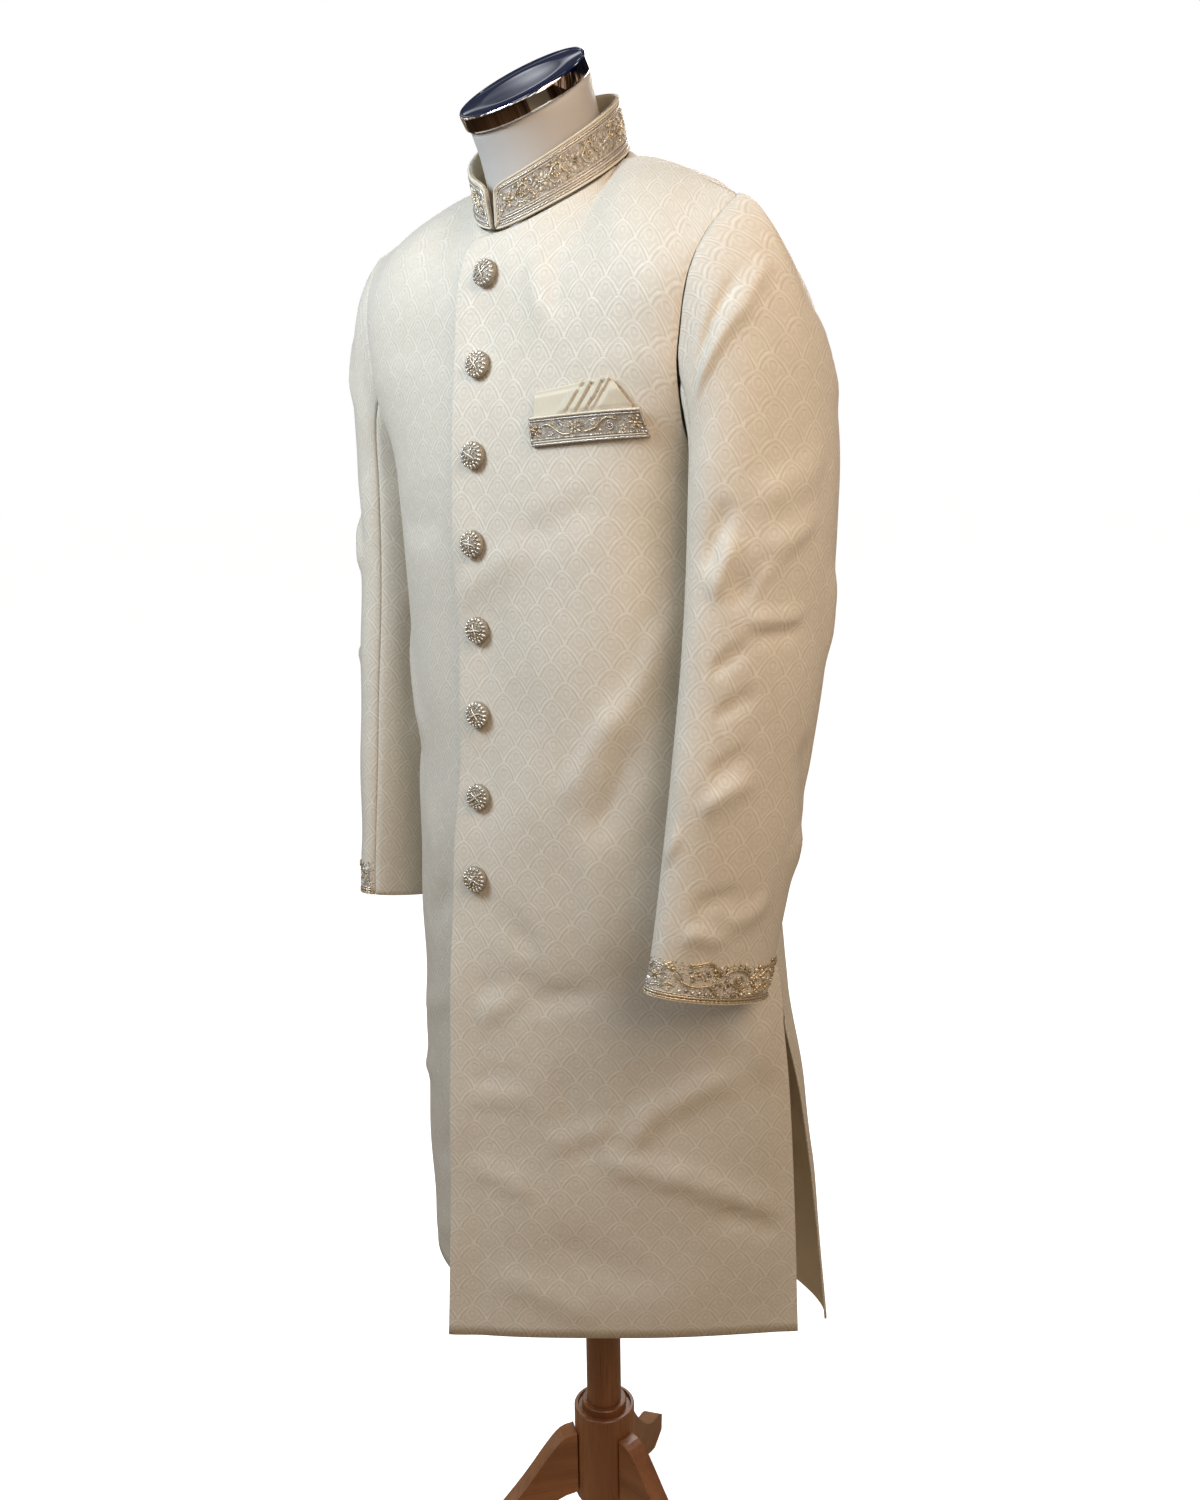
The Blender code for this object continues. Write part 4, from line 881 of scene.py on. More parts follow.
# ---- finishes
class Nodes:
    """A node tree being laid out, with short ways to add a node and join it up."""

    def __init__(self, tree):
        self.tree = tree

    def add(self, kind, *inputs, out=0, **settings):
        node = self.tree.nodes.new(kind)
        for word, value in settings.items():
            setattr(node, word, value)
        for i, value in enumerate(inputs):
            if value is not None:
                self.join(value, node.inputs[i])
        return node.outputs[out]

    def join(self, value, socket):
        if isinstance(value, bpy.types.NodeSocket):
            self.tree.links.new(value, socket)
        else:
            socket.default_value = value

    def math(self, operation, *inputs):
        return self.add("ShaderNodeMath", *inputs, operation=operation)

    def bump_at(self, value, place, half):
        """1 where a value is at a place, falling evenly to 0 a half width away."""
        off = self.math("ABSOLUTE", self.math("SUBTRACT", value, place))
        return self.ramp(off, 0.0, half, 1.0, 0.0)

    def ramp(self, value, low, high, to_low=0.0, to_high=1.0, kind="SMOOTHSTEP"):
        return self.add("ShaderNodeMapRange", value, low, high, to_low, to_high, interpolation_type=kind)

    def noise(self, vector, scale, detail=2.0, rough=0.5):
        return self.add("ShaderNodeTexNoise", vector, None, scale, detail, rough)

    def blend(self, share, first, second):
        """Mix of two colours, whose sockets are the sixth and seventh after the share's."""
        return self.add("ShaderNodeMix", share, *[None] * 5, first, second, out=2, data_type="RGBA")

    def parts(self, vector):
        node = self.tree.nodes.new("ShaderNodeSeparateXYZ")
        self.join(vector, node.inputs[0])
        return node.outputs

    def here(self):
        """Place on the object itself."""
        return self.add("ShaderNodeTexCoord", out=3)

    def feed(self, word, value):
        """Joins a value to a socket of the material's own shader."""
        self.join(value, self.tree.nodes["Principled BSDF"].inputs[word])

    def stretched(self, vector, scale, turn=(0.0, 0.0, 0.0)):
        return self.add("ShaderNodeMapping", vector, None, turn, scale)


def new_group(name, inputs, outputs):
    """An empty shader group with named inputs and outputs."""
    tree = bpy.data.node_groups.new(name, "ShaderNodeTree")
    for word, kind, value in inputs:
        made = tree.interface.new_socket(word, in_out="INPUT", socket_type=kind)
        if value is not None:
            made.default_value = value
    for word, kind in outputs:
        tree.interface.new_socket(word, in_out="OUTPUT", socket_type=kind)
    return Nodes(tree), tree.nodes.new("NodeGroupInput"), tree.nodes.new("NodeGroupOutput")


def make_brocade_group():
    """Woven figure: half-dropped ogee scales, each with a shiny outline, a fainter line inside the
    next scale's shoulder, a matte leaf in its foot and a bud at its heart."""
    n, source, result = new_group(
        "brocade_figure",
        [("Weave", "NodeSocketVector", None), ("Width", "NodeSocketFloat", 0.0285),
         ("Drop", "NodeSocketFloat", 0.032)],
        [("Figure", "NodeSocketFloat"), ("Leaf", "NodeSocketFloat"), ("Height", "NodeSocketFloat"),
         ("Slub", "NodeSocketFloat"), ("Face", "NodeSocketFloat")])
    weave, width, drop = source.outputs[0], source.outputs[1], source.outputs[2]
    across_cloth, up_cloth, side = n.parts(weave)
    u = n.math("DIVIDE", across_cloth, width)
    v = n.math("DIVIDE", up_cloth, drop)
    row = n.math("FLOOR", n.math("MULTIPLY", v, 2.0))
    y = n.math("MULTIPLY", n.math("FRACT", n.math("MULTIPLY", v, 2.0)), -0.5)
    x = n.math("SUBTRACT", n.math("FRACT", n.math("MULTIPLY_ADD", row, 0.5, u)), 0.5)
    # a superellipse's radius, which gives the scale its full shoulders
    across_power, up_power = (n.math("POWER", n.math("ABSOLUTE", way), 1.4) for way in (x, y))
    radius = n.math("POWER", n.math("ADD", across_power, up_power), 1 / 1.4)
    outline = n.bump_at(radius, 0.495, 0.080)
    inner = n.math("MULTIPLY", n.bump_at(radius, 0.350, 0.060), 0.75)
    outer = n.math("MULTIPLY", n.bump_at(radius, 0.625, 0.055), 0.80)
    low = n.ramp(y, -0.24, -0.30)
    leaf = n.math("MULTIPLY", n.ramp(radius, 0.22, 0.27), n.ramp(radius, 0.350, 0.310))
    far_ring = n.math("MULTIPLY", n.bump_at(radius, 0.560, 0.040), 0.7)
    rings = n.math("MAXIMUM", n.bump_at(radius, 0.425, 0.050), far_ring)
    leaf = n.math("MAXIMUM", n.math("MULTIPLY", leaf, low), rings)
    bud_y = n.math("MULTIPLY", n.math("ADD", y, 0.20), 0.8)
    bud = n.math("SQRT", n.math("ADD", n.math("MULTIPLY", x, x), n.math("MULTIPLY", bud_y, bud_y)))
    heart = n.math("MAXIMUM", n.ramp(bud, 0.085, 0.040), n.bump_at(bud, 0.165, 0.060))
    heart = n.math("MULTIPLY", heart, 0.60)
    figure = n.math("MAXIMUM", n.math("MAXIMUM", outline, outer), n.math("MAXIMUM", inner, heart))
    slub = n.noise(n.stretched(weave, (900.0, 90.0, 1.0)), 1.0, 3.0, 0.6)
    across = n.noise(n.stretched(weave, (120.0, 1100.0, 1.0)), 1.0, 2.0, 0.6)
    threads = n.math("ADD", n.math("MULTIPLY", slub, 0.5), n.math("MULTIPLY", across, 0.5))
    worn = n.noise(n.stretched(weave, (70.0, 70.0, 1.0)), 1.0, 2.0, 0.6)
    figure = n.math("MULTIPLY", figure, n.ramp(threads, 0.34, 0.60, 0.35, 1.0))
    figure = n.math("MULTIPLY", figure, n.ramp(worn, 0.32, 0.60, 0.40, 1.0))
    height = n.math("ADD", n.math("MULTIPLY", figure, 0.75), n.math("MULTIPLY", threads, 0.35))
    for i, item in enumerate((figure, leaf, height, threads, side)):
        n.join(item, result.inputs[i])


def make_streak_group():
    """Long-grained wood: fine fibres and wide bands stretched along local X."""
    n, source, result = new_group(
        "sawn_grain", [("Along X", "NodeSocketVector", None)],
        [("Band", "NodeSocketFloat"), ("Fibre", "NodeSocketFloat")])
    wave = n.stretched(source.outputs[0], (3.0, 34.0, 34.0))
    band = n.noise(wave, 1.0, 3.0, 0.55)
    fibre = n.noise(n.stretched(source.outputs[0], (14.0, 700.0, 700.0)), 1.0, 2.0, 0.6)
    n.join(band, result.inputs[0])
    n.join(fibre, result.inputs[1])


def use_group(n, name, *inputs):
    node = n.tree.nodes.new("ShaderNodeGroup")
    node.node_tree = bpy.data.node_groups[name]
    for i, value in enumerate(inputs):
        if value is not None:
            n.join(value, node.inputs[i])
    return node.outputs


def new_finish(name, **constants):
    """A material with its shader's constants set on the shader's own sockets."""
    made = bpy.data.materials.new(name)
    made.use_nodes = True
    n = Nodes(made.node_tree)
    for word, value in constants.items():
        n.feed(word.replace("_", " "), value)
    return n


def attribute(n, name):
    return n.add("ShaderNodeAttribute", out=1, attribute_name=name)


def bump(n, height, distance, strength=1.0):
    node = n.tree.nodes.new("ShaderNodeBump")
    node.inputs["Strength"].default_value = strength
    node.inputs["Distance"].default_value = distance
    n.join(height, node.inputs["Height"])
    n.feed("Normal", node.outputs[0])


def rgba(colour, *shades):
    """A colour for a socket, each channel multiplied by its shade, or all by one."""
    return (*(np.array(colour) * shades if shades else colour), 1.0)


def make_brocade(settings):
    """Ivory silk brocade: matte ground, shinier figure, plain satin on the back."""
    n = new_finish("ivory_brocade", Sheen_Weight=0.12, Sheen_Roughness=0.45,
                                 Specular_IOR_Level=0.42)
    figure, leaf, height, slub, face = use_group(n, "brocade_figure", attribute(n, "weave"),
                                                 settings.figure_width, settings.figure_drop)
    cloth = settings.cloth_colour
    ground = n.blend(n.ramp(slub, 0.35, 0.65), rgba(cloth, 0.965), rgba(cloth))
    ground = n.blend(n.math("MULTIPLY", leaf, 0.85), ground, rgba(cloth, 0.86, 0.85, 0.82))
    ground = n.blend(n.math("MULTIPLY", figure, 0.80), ground, rgba(settings.figure_colour))
    n.feed("Base Color", n.blend(face, rgba(settings.lining_colour), ground))
    shine = n.math("MULTIPLY", figure, 0.26)
    n.feed("Roughness", n.math("SUBTRACT", n.ramp(slub, 0.3, 0.7, 0.60, 0.70), shine))
    bump(n, n.math("MULTIPLY", height, face), 0.00028, 0.8)


def make_square_silk(settings):
    """Cream silk of the pocket square: a fine twill with a soft sheen."""
    n = new_finish("cream_silk", Sheen_Weight=0.10, Specular_IOR_Level=0.5)
    threads = n.noise(n.stretched(attribute(n, "weave"), (1400.0, 260.0, 1.0)), 1.0, 2.0, 0.6)
    n.feed("Base Color", n.blend(n.ramp(threads, 0.35, 0.65), rgba(settings.square_colour, 0.93),
           rgba(settings.square_colour)))
    n.feed("Roughness", n.ramp(threads, 0.3, 0.7, 0.42, 0.55))
    bump(n, threads, 0.00012)


def make_braid_ground(settings):
    """Cloth under the collar's and welt's embroidery: tan, thick with silver and dark specks."""
    n = new_finish("stitched_ground", Specular_IOR_Level=0.5)
    here = n.here()
    specks = n.noise(here, 1300.0, 2.0, 0.7)
    tone = n.noise(here, 260.0, 2.0, 0.5)
    base = n.blend(n.ramp(tone, 0.35, 0.65), rgba((0.36, 0.31, 0.25)), rgba((0.58, 0.53, 0.46)))
    base = n.blend(n.ramp(specks, 0.58, 0.66), base, rgba((0.80, 0.78, 0.74)))
    base = n.blend(n.ramp(specks, 0.42, 0.36), base, rgba((0.13, 0.10, 0.08)))
    face = n.parts(attribute(n, "weave"))[2]
    n.feed("Base Color", n.blend(face, rgba(settings.facing_colour), base))
    n.feed("Metallic", n.math("MULTIPLY", n.ramp(specks, 0.56, 0.62, 0.0, 0.8), face))
    n.feed("Roughness", n.ramp(specks, 0.4, 0.6, 0.62, 0.36))
    bump(n, specks, 0.0004)


def make_metal_thread(settings):
    """Gilt, silver and cream thread: which one it is comes with each point of the work."""
    n = new_finish("metal_thread", Specular_IOR_Level=0.6)
    gold, metal, shade = n.parts(attribute(n, "thread"))
    here = n.here()
    ply = n.noise(here, 2200.0, 1.0, 0.5)
    gilt = n.blend(gold, rgba(settings.silver_colour), rgba(settings.gold_colour))
    colour = n.blend(metal, rgba(settings.piping_colour), gilt)
    dark = n.ramp(shade, 0.0, 1.0, 0.10, 1.12, "LINEAR")
    dark = n.math("MULTIPLY", dark, n.ramp(ply, 0.3, 0.7, 0.82, 1.05))
    scaled = n.add("ShaderNodeVectorMath", colour, None, None, dark, operation="SCALE")
    n.feed("Base Color", scaled)
    n.feed("Metallic", n.math("MULTIPLY", metal, 0.62))
    n.feed("Roughness", n.ramp(metal, 0.0, 1.0, 0.60, 0.24, "LINEAR"))
    bump(n, ply, 0.0002)


def make_form_skin(settings):
    n = new_finish("form_skin", Specular_IOR_Level=0.35)
    here = n.here()
    cloud = n.noise(here, 9.0, 3.0, 0.5)
    grain = n.noise(here, 900.0, 2.0, 0.5)
    colour = n.blend(n.ramp(cloud, 0.35, 0.65), rgba(settings.form_colour, 0.93, 0.92, 0.91),
                     rgba(settings.form_colour))
    n.feed("Base Color", colour)
    n.feed("Roughness", n.ramp(cloud, 0.3, 0.7, 0.52, 0.62))
    bump(n, grain, 0.00008)


def make_chrome():
    n = new_finish("polished_chrome", Metallic=1.0)
    here = n.here()
    smear = n.noise(here, 35.0, 3.0, 0.6)
    plain_chrome = n.blend(smear, rgba((0.80, 0.81, 0.84)), rgba((0.88, 0.89, 0.91)))
    lean = math.radians(CAP_TILT)
    at = n.add("ShaderNodeVectorMath", here, CAP_CENTRE, operation="SUBTRACT")
    x, y, z = n.parts(n.stretched(at, (1.0, 1.0, 1.0), (-lean, 0.0, 0.0)))
    turn = n.math("ARCTAN2", x, n.math("MULTIPLY", y, -1.0))
    ring = n.add("ShaderNodeCombineXYZ", turn, 0.0, 0.0)
    # Painted reflection: upright bands of near black, brown and pale round the side of the cap, set in its
    # base colour, stand in for a dark shop reflected in the chrome.
    streak = n.noise(ring, 9.0, 4.0, 0.75)
    broad = n.noise(ring, 1.7, 1.0, 0.5)
    painted_reflection = n.blend(n.ramp(streak, 0.38, 0.50), rgba((0.035, 0.030, 0.032)), rgba((0.20, 0.13, 0.09)))
    painted_reflection = n.blend(n.ramp(streak, 0.60, 0.66), painted_reflection, rgba((0.62, 0.60, 0.56)))
    painted_reflection = n.blend(n.ramp(broad, 0.58, 0.62), painted_reflection, plain_chrome)
    # The painted reflection covers only the upright side of the cap; its top keeps the plain chrome colour.
    reach = n.math("SQRT", n.math("ADD", n.math("POWER", x, 2.0), n.math("POWER", y, 2.0)))
    on_side = n.math("MULTIPLY", n.ramp(reach, CAP_RADIUS - 0.0005, CAP_RADIUS - 0.0001),
                     n.ramp(z, -0.0012, -0.0022))
    n.feed("Base Color", n.blend(on_side, plain_chrome, painted_reflection))
    n.feed("Roughness", n.ramp(smear, 0.35, 0.75, 0.03, 0.08))
    bump(n, n.noise(here, 14.0, 1.0, 0.5), 0.0006, 0.5)


def make_wood(settings, name, turn):
    """Varnished wood with its grain along the piece; turn takes the piece's length to X."""
    n = new_finish(name, Specular_IOR_Level=0.5, Coat_Roughness=0.22)
    here = n.here()
    band, fibre = use_group(n, "sawn_grain", n.stretched(here, (1.0, 1.0, 1.0), turn))
    colour = n.blend(n.ramp(band, 0.32, 0.68), rgba(settings.wood_colour),
                     rgba(settings.wood_colour, 1.55, 1.7, 1.9))
    colour = n.blend(n.ramp(fibre, 0.56, 0.74, 0.0, 0.6), colour, rgba(settings.wood_colour, 0.5))
    n.feed("Base Color", colour)
    n.feed("Roughness", n.ramp(fibre, 0.3, 0.7, 0.36, 0.52))
    n.feed("Coat Weight", n.ramp(band, 0.3, 0.7, 0.35, 0.2))
    bump(n, fibre, 0.00012)


def make_floor_finish(settings):
    n = new_finish("pale_floor", Emission_Strength=0.88)
    here = n.here()
    cloud = n.noise(here, 3.0, 3.0, 0.5)
    pale = n.blend(cloud, rgba(settings.floor_colour, 0.985), rgba(settings.floor_colour))
    n.feed("Roughness", n.ramp(cloud, 0.3, 0.7, 0.75, 0.85))
    # it glows only to the eye, so that it looks as pale as the studio wall and throws no light up
    seen = n.tree.nodes.new("ShaderNodeLightPath").outputs["Is Camera Ray"]
    n.feed("Emission Color", n.blend(seen, rgba((0.0, 0.0, 0.0)), rgba((1.0, 1.0, 0.995))))
    # light that it throws up on the coat is the warm brown of a shop's boards
    n.feed("Base Color", n.blend(seen, rgba((0.38, 0.275, 0.17)), pale))


# ---- settings
def colour_of(name, description, default):
    return bpy.props.FloatVectorProperty(name=name, description=description, default=default,
                                         subtype="COLOR", size=3, min=0.0, max=1.0)


def length_of(name, description, default, least):
    return bpy.props.FloatProperty(name=name, description=description, default=default, min=least,
                                   unit="LENGTH")


class SherwaniSettings(bpy.types.PropertyGroup):
    figure_width: length_of("Figure width", "Width of one ogee of the woven figure", 0.0285, 0.005)
    figure_drop: length_of("Figure height", "Height of one repeat of the woven figure", 0.0320, 0.005)
    cord_radius: length_of("Cord radius", "Radius of the twisted cords", 0.00095, 0.0003)
    bead_radius: length_of("Bead radius", "Radius of the larger beads", 0.00105, 0.0003)
    cloth_colour: colour_of("Ground", "Matte ground of the brocade", (0.675, 0.615, 0.515))
    figure_colour: colour_of("Figure", "Shiny figure of the brocade", (0.845, 0.800, 0.710))
    lining_colour: colour_of("Lining", "Back of the cloth", (0.86, 0.80, 0.68))
    facing_colour: colour_of("Collar facing", "Inside of the collar band", (0.70, 0.60, 0.42))
    piping_colour: colour_of("Piping", "Cream cord round the collar and under the beads", (0.80, 0.72, 0.57))
    square_colour: colour_of("Pocket square", "Silk of the pocket square", (0.70, 0.63, 0.49))
    silver_colour: colour_of("Silver thread", "Silver cords and beads", (0.93, 0.90, 0.86))
    gold_colour: colour_of("Gilt thread", "Gilt cords and beads", (0.90, 0.72, 0.45))
    form_colour: colour_of("Form", "Painted skin of the dress form", (0.60, 0.57, 0.535))
    wood_colour: colour_of("Wood", "Darker colour of the stand's wood", (0.215, 0.080, 0.026))
    floor_colour: colour_of("Floor", "Studio floor", (0.93, 0.93, 0.92))


# ---- operators
def settings_of(context):
    return context.scene.sherwani


def evened(grid, count):
    """The same face with its columns at even lengths along its first row."""
    run = run_length(grid[:1], 1)[0]
    at = np.interp(np.linspace(0, run[-1], count), run, np.arange(grid.shape[1]))
    j = np.clip(at.astype(int), 0, grid.shape[1] - 2)
    b = (at - j)[None, :, None]
    return grid[:, j] * (1 - b) + grid[:, j + 1] * b


def soft_waves(x, z, phase):
    """Slow unevenness of hanging cloth: two crossed sines and a third along the height."""
    slanted = np.sin(2 * np.pi * (x / 0.13 + z / 0.45) + phase)
    level = np.sin(2 * np.pi * z / 0.21 + 1.3 * phase)
    return 0.0007 * slanted * level + 0.0005 * np.sin(2 * np.pi * (z / 0.13 - x / 0.3) + 2 * phase)


def pocket_rest(x, z):
    """0 over the welt pocket and its square, 1 well away from them."""
    across, up, half_width, half_height = POCKET_CLEAR
    off = np.maximum(np.abs(x - across) / half_width, np.abs(z - up) / half_height)
    return ease((off - 1.0) / 0.5)


def creased_front(grid, out, side, creases, phase):
    x, z = grid[..., 0] * side, grid[..., 2]
    first, last, _, top = from_edges(grid)
    lift = pressed(x, z, creases) + soft_waves(x, z, phase) * ease(top / 0.06)
    lift *= ease(last / 0.022) * pocket_rest(x, z)
    if side < 0:
        lift *= ease((x - 0.03) / 0.03)
    lift = np.maximum(lift, -0.0011 - 0.08 * np.clip(x - 0.028, 0, None))
    if side > 0:
        lift += EDGE_LIFT * (1 - ease(first / 0.036))
    lift *= ease(top / 0.02)
    lift -= sink(last) * ease((z - VENT_TOP) / 0.01) + sink(top)
    return grid + out * lift[..., None]


def creased_back(grid, out, side, creases, phase):
    x, z = grid[..., 0] * side, grid[..., 2]
    first, last, _, top = from_edges(grid)
    lift = pressed(x, z, creases) + soft_waves(x, z, phase)
    lift *= ease(first / 0.022) * ease(last / 0.022) * ease(top / 0.02)
    lift -= sink(first) * ease((z - VENT_TOP) / 0.01) + sink(top) + sink(last)
    return grid + out * lift[..., None]


def panel_weave(grid, origin):
    """Lengths across and up the cloth, with across counted from an origin column."""
    across, up = run_length(grid, 1), run_length(grid, 0)
    return np.stack([across - across[:, origin:origin + 1], up], -1)


class SHERWANI_OT_finishes(bpy.types.Operator):
    """Make every finish that the pieces share"""
    bl_idname = "sherwani.finishes"
    bl_label = "Finishes"

    def execute(self, context):
        settings = settings_of(context)
        make_brocade_group()
        make_streak_group()
        make_brocade(settings)
        make_square_silk(settings)
        make_braid_ground(settings)
        make_metal_thread(settings)
        make_form_skin(settings)
        make_chrome()
        make_wood(settings, "turned_wood", (0.0, math.pi / 2, 0.0))
        for i in range(LEG_COUNT):
            turn = math.radians(LEG_FIRST_TURN + i * 360 / LEG_COUNT)
            make_wood(settings, f"sawn_wood_{i + 1}", (0.0, 0.0, -turn))
        make_floor_finish(settings)
        return {"FINISHED"}


FACES = {}


class SHERWANI_OT_panels(bpy.types.Operator):
    """Cut and hang the two fronts and the two backs"""
    bl_idname = "sherwani.panels"
    bl_label = "Fronts and backs"

    def execute(self, context):
        creases = {1: (FRONT_LEFT_CREASES, BACK_LEFT_CREASES),
                   -1: (FRONT_RIGHT_CREASES, BACK_RIGHT_CREASES)}
        # flat width, flat length and area of each side's front and back
        sizes = {1: ((0.33, 1.09, 0.324), (0.28, 1.15, 0.281)),
                 -1: ((0.31, 1.09, 0.297), (0.27, 1.15, 0.263))}
        for side, word in ((1, "left"), (-1, "right")):
            front, front_out, back, back_out = panel_pair(side, PANEL_COLS, PANEL_COLS, ROWS_FINE)
            front = creased_front(front, front_out, side, creases[side][0], 0.6 + side)
            back = creased_back(back, back_out, side, creases[side][1], 2.1 + side)
            lap = int(np.argmin(np.abs(front[0, :, 0])))
            for part, grid, out, origin, size in (
                    ("front", front, front_out, lap, sizes[side][0]),
                    ("back", back, back_out, PANEL_COLS - 1, sizes[side][1])):
                piece = cloth_piece(f"brocade_{part}_{word}", grid, out, panel_weave(grid, origin),
                                    f"{part}_{word}")
            if side > 0:
                FACES["front"] = front
        return {"FINISHED"}


def sleeve_face(part, side):
    """A sleeve piece with its creases, and its outward directions."""
    first, last = (-100.0, 108.0) if part == "upper" else (108.6, 259.4)
    grid = sleeve_piece(first, last, side, SLEEVE_COLS, SLEEVE_ROWS, CAP_ROWS)
    out = wall_directions(grid, -side)
    angle = np.linspace(first, last, SLEEVE_COLS)
    low, high = SLEEVE[0][0], SLEEVE[-1][0]
    level = np.concatenate([np.linspace(low, high, SLEEVE_ROWS),
                            high + np.linspace(0, 1, CAP_ROWS + 1)[1:] * (SHOULDER_END[2] - high)])
    x, y = np.meshgrid(np.radians(angle) * ARM_RADIUS, level)
    table = SLEEVE_UPPER_CREASES if side > 0 else SLEEVE_UPPER_AWAY_CREASES
    if part == "under":
        table = SLEEVE_UNDER_CREASES
    arc = math.radians(ARM_RADIUS * 1000)
    table = [(a * arc, low_z, b * arc, *others) for a, low_z, b, *others in table]
    start, end, _, top = from_edges(grid)
    lift = pressed(x, y, table) + soft_waves(x, y, 3.0 + side) * (1.0 if part == "upper" else 0.5)
    lift *= ease(start / 0.018) * ease(end / 0.018) * ease(top / 0.03) * ease((y - low - 0.03) / 0.03)
    lift -= sink(start) + sink(end) + sink(top)
    return grid + out * lift[..., None], out


class SHERWANI_OT_sleeves(bpy.types.Operator):
    """Cut and hang the two-piece sleeves"""
    bl_idname = "sherwani.sleeves"
    bl_label = "Sleeves"

    def execute(self, context):
        for side, word in ((1, "left"), (-1, "right")):
            for part, size in (("upper", (0.26, 0.66, 0.122)), ("under", (0.17, 0.52, 0.071))):
                grid, out = sleeve_face(part, side)
                origin = 29 if part == "upper" else 30
                piece = cloth_piece(f"brocade_sleeve_{part}_{word}", grid, out, panel_weave(grid, origin),
                                    f"sleeve_{part}_{word}")
                trim = [embroider_cuff(grid, out, side, word, context)] if part == "upper" else []
        return {"FINISHED"}


def embroider_cuff(grid, out, side, word, context):
    """Embroidery round a cuff, laid out from its front edge towards the back, in millimetres."""
    settings = settings_of(context)
    face, ways = (evened(sheet[:CUFF_ROWS], 200) for sheet in (grid, out))
    ways = unit(ways)
    width = run_length(face[:1], 1)[0, -1]
    height = run_length(face, 0)[-1].mean()
    place = surface_map(face, ways, width, height, from_last=True)
    work = Work(11 + side, 1.38)
    end = width * 1000 - 1.5
    cord, bead = settings.cord_radius, settings.bead_radius * 1.3
    work.cord(mm((1.5, 2.0), (end / 2, 2.0), (end, 2.0)), cord * 1.05, GOLD)
    work.cord(mm((1.5, 4.6), (end / 2, 4.6), (end, 4.6)), cord, GOLD, pitch=0.0036)
    work.cord(mm((1.5, 0.3), (end / 2, 0.3), (end, 0.3)), 0.0007, CREAM, twist=0.0)
    work.cord(mm((1.5, 6.6), (end / 2, 6.6), (end, 6.6)), 0.00055, SILVER)
    # flower at the front edge, outlined twice
    t = np.linspace(0, 2 * np.pi, 40)
    for radius, size in ((9.0, 0.0006), (7.2, 0.0005)):
        wavy = radius * (1 + 0.08 * np.cos(7 * t))
        work.cord(np.stack([15 + wavy * np.cos(t), 21 + wavy * 1.15 * np.sin(t)], -1) / 1000, size, SILVER)
    work.flower(spot(15, 21), 0.0064, SILVER, GOLD, 7)
    work.beads(mm((24, 31), (26.5, 33), (28.5, 31), (27, 29), (30.5, 28.5)), bead, GOLD)
    work.petals(spot(7, 12), 6, 0.0026, 0.0032, 0.0016, SILVER)
    work.petals(spot(26, 11.5), 5, 0.0028, 0.0034, 0.0018, PALE)
    work.cord(mm((21, 9), (24, 14), (29, 15), (33, 12)), 0.0007, GOLD)
    # leaf
    work.blobs(BALL, mm((34, 22)), (0.0062, 0.0026, 0.0010), -0.75, GOLD)
    work.cord(mm((28, 28), (31, 26), (37, 19), (40, 16)), 0.0006, GOLD)
    work.cord(mm((28, 28), (33, 27), (38, 22), (40, 16)), 0.0006, SILVER)
    # great arc with its hook, and the vine under it
    for shift, size in ((0.0, 0.00095), (1.9, 0.0006)):
        work.cord(mm((42, 35.5 - shift), (46, 34 - shift), (52, 35.5 - shift), (58, 37.5 - shift),
                     (64, 36 - shift), (68.5 - shift, 31), (70 - shift, 25)), size, GOLD)
    work.spiral(spot(46, 32.5), 0.0026, 1.6, GOLD)
    work.cord(mm((37, 18.5), (43, 16), (50, 14.6), (57, 15.2), (63, 16), (68, 12), (71, 8)), 0.00095, GOLD)
    work.cord(mm((40, 16), (47, 13), (56, 13.4), (64, 13.6)), 0.0005, SILVER)
    work.flower(spot(53, 26), 0.0052, PALE, GOLD, 6)
    work.beads(mm((47, 24), (60, 29), (61.5, 26), (60, 22.5), (48, 20), (45, 28)), bead * 0.9, GOLD)
    work.beads(mm((44, 10.5), (50, 9.5), (56, 9.5), (38, 9.5), (62, 9.2)), bead, SILVER)
    # pile of gilt loops beside the arc
    for k in range(7):
        work.blobs(BALL, mm((67.5 + 2.6 * (k % 2), 11 + 2.6 * k)), (0.0024, 0.0010, 0.0011),
                   0.5 - 0.25 * (k % 3), GOLD)
    work.beads(mm((66, 9), (73, 9), (66, 31), (73, 27), (74, 18)), bead, GOLD)
    # lens with its drops and its coil
    work.cord(mm((75, 26), (80, 29.5), (88, 31.5), (96, 30.5), (101, 28), (105, 25)), 0.00095, GOLD)
    work.cord(mm((77, 25), (82, 28), (89, 29.5), (96, 28.6), (102, 25)), 0.0005, SILVER)
    work.cord(mm((84, 20), (88, 17), (94, 15.5), (100, 16.5), (106, 20)), 0.0009, GOLD)
    work.spiral(spot(92.5, 22), 0.0052, 2.2, GOLD, 0.0006, 2.4)
    work.beads(mm((79, 22), (82, 18), (79, 15)), bead, GOLD)
    drops = mm((72, 33), (78, 35), (84.5, 36.5), (91, 37), (97, 36), (102, 33.5))
    work.blobs(BALL, drops, (0.0014, 0.0019, 0.0014), 0.0, PALE)
    work.beads(drops + mm((0, -3.0)), bead * 0.8, GOLD)
    work.petals(spot(97, 9.5), 11, 0.0042, 0.0046, 0.0011, GOLD, 0.0, 0.0011)
    work.beads(mm((97, 9.5), (88, 9), (107, 9)), bead * 1.2, GOLD)
    work.petals(spot(82, 10.5), 6, 0.0022, 0.0026, 0.0014, SILVER)
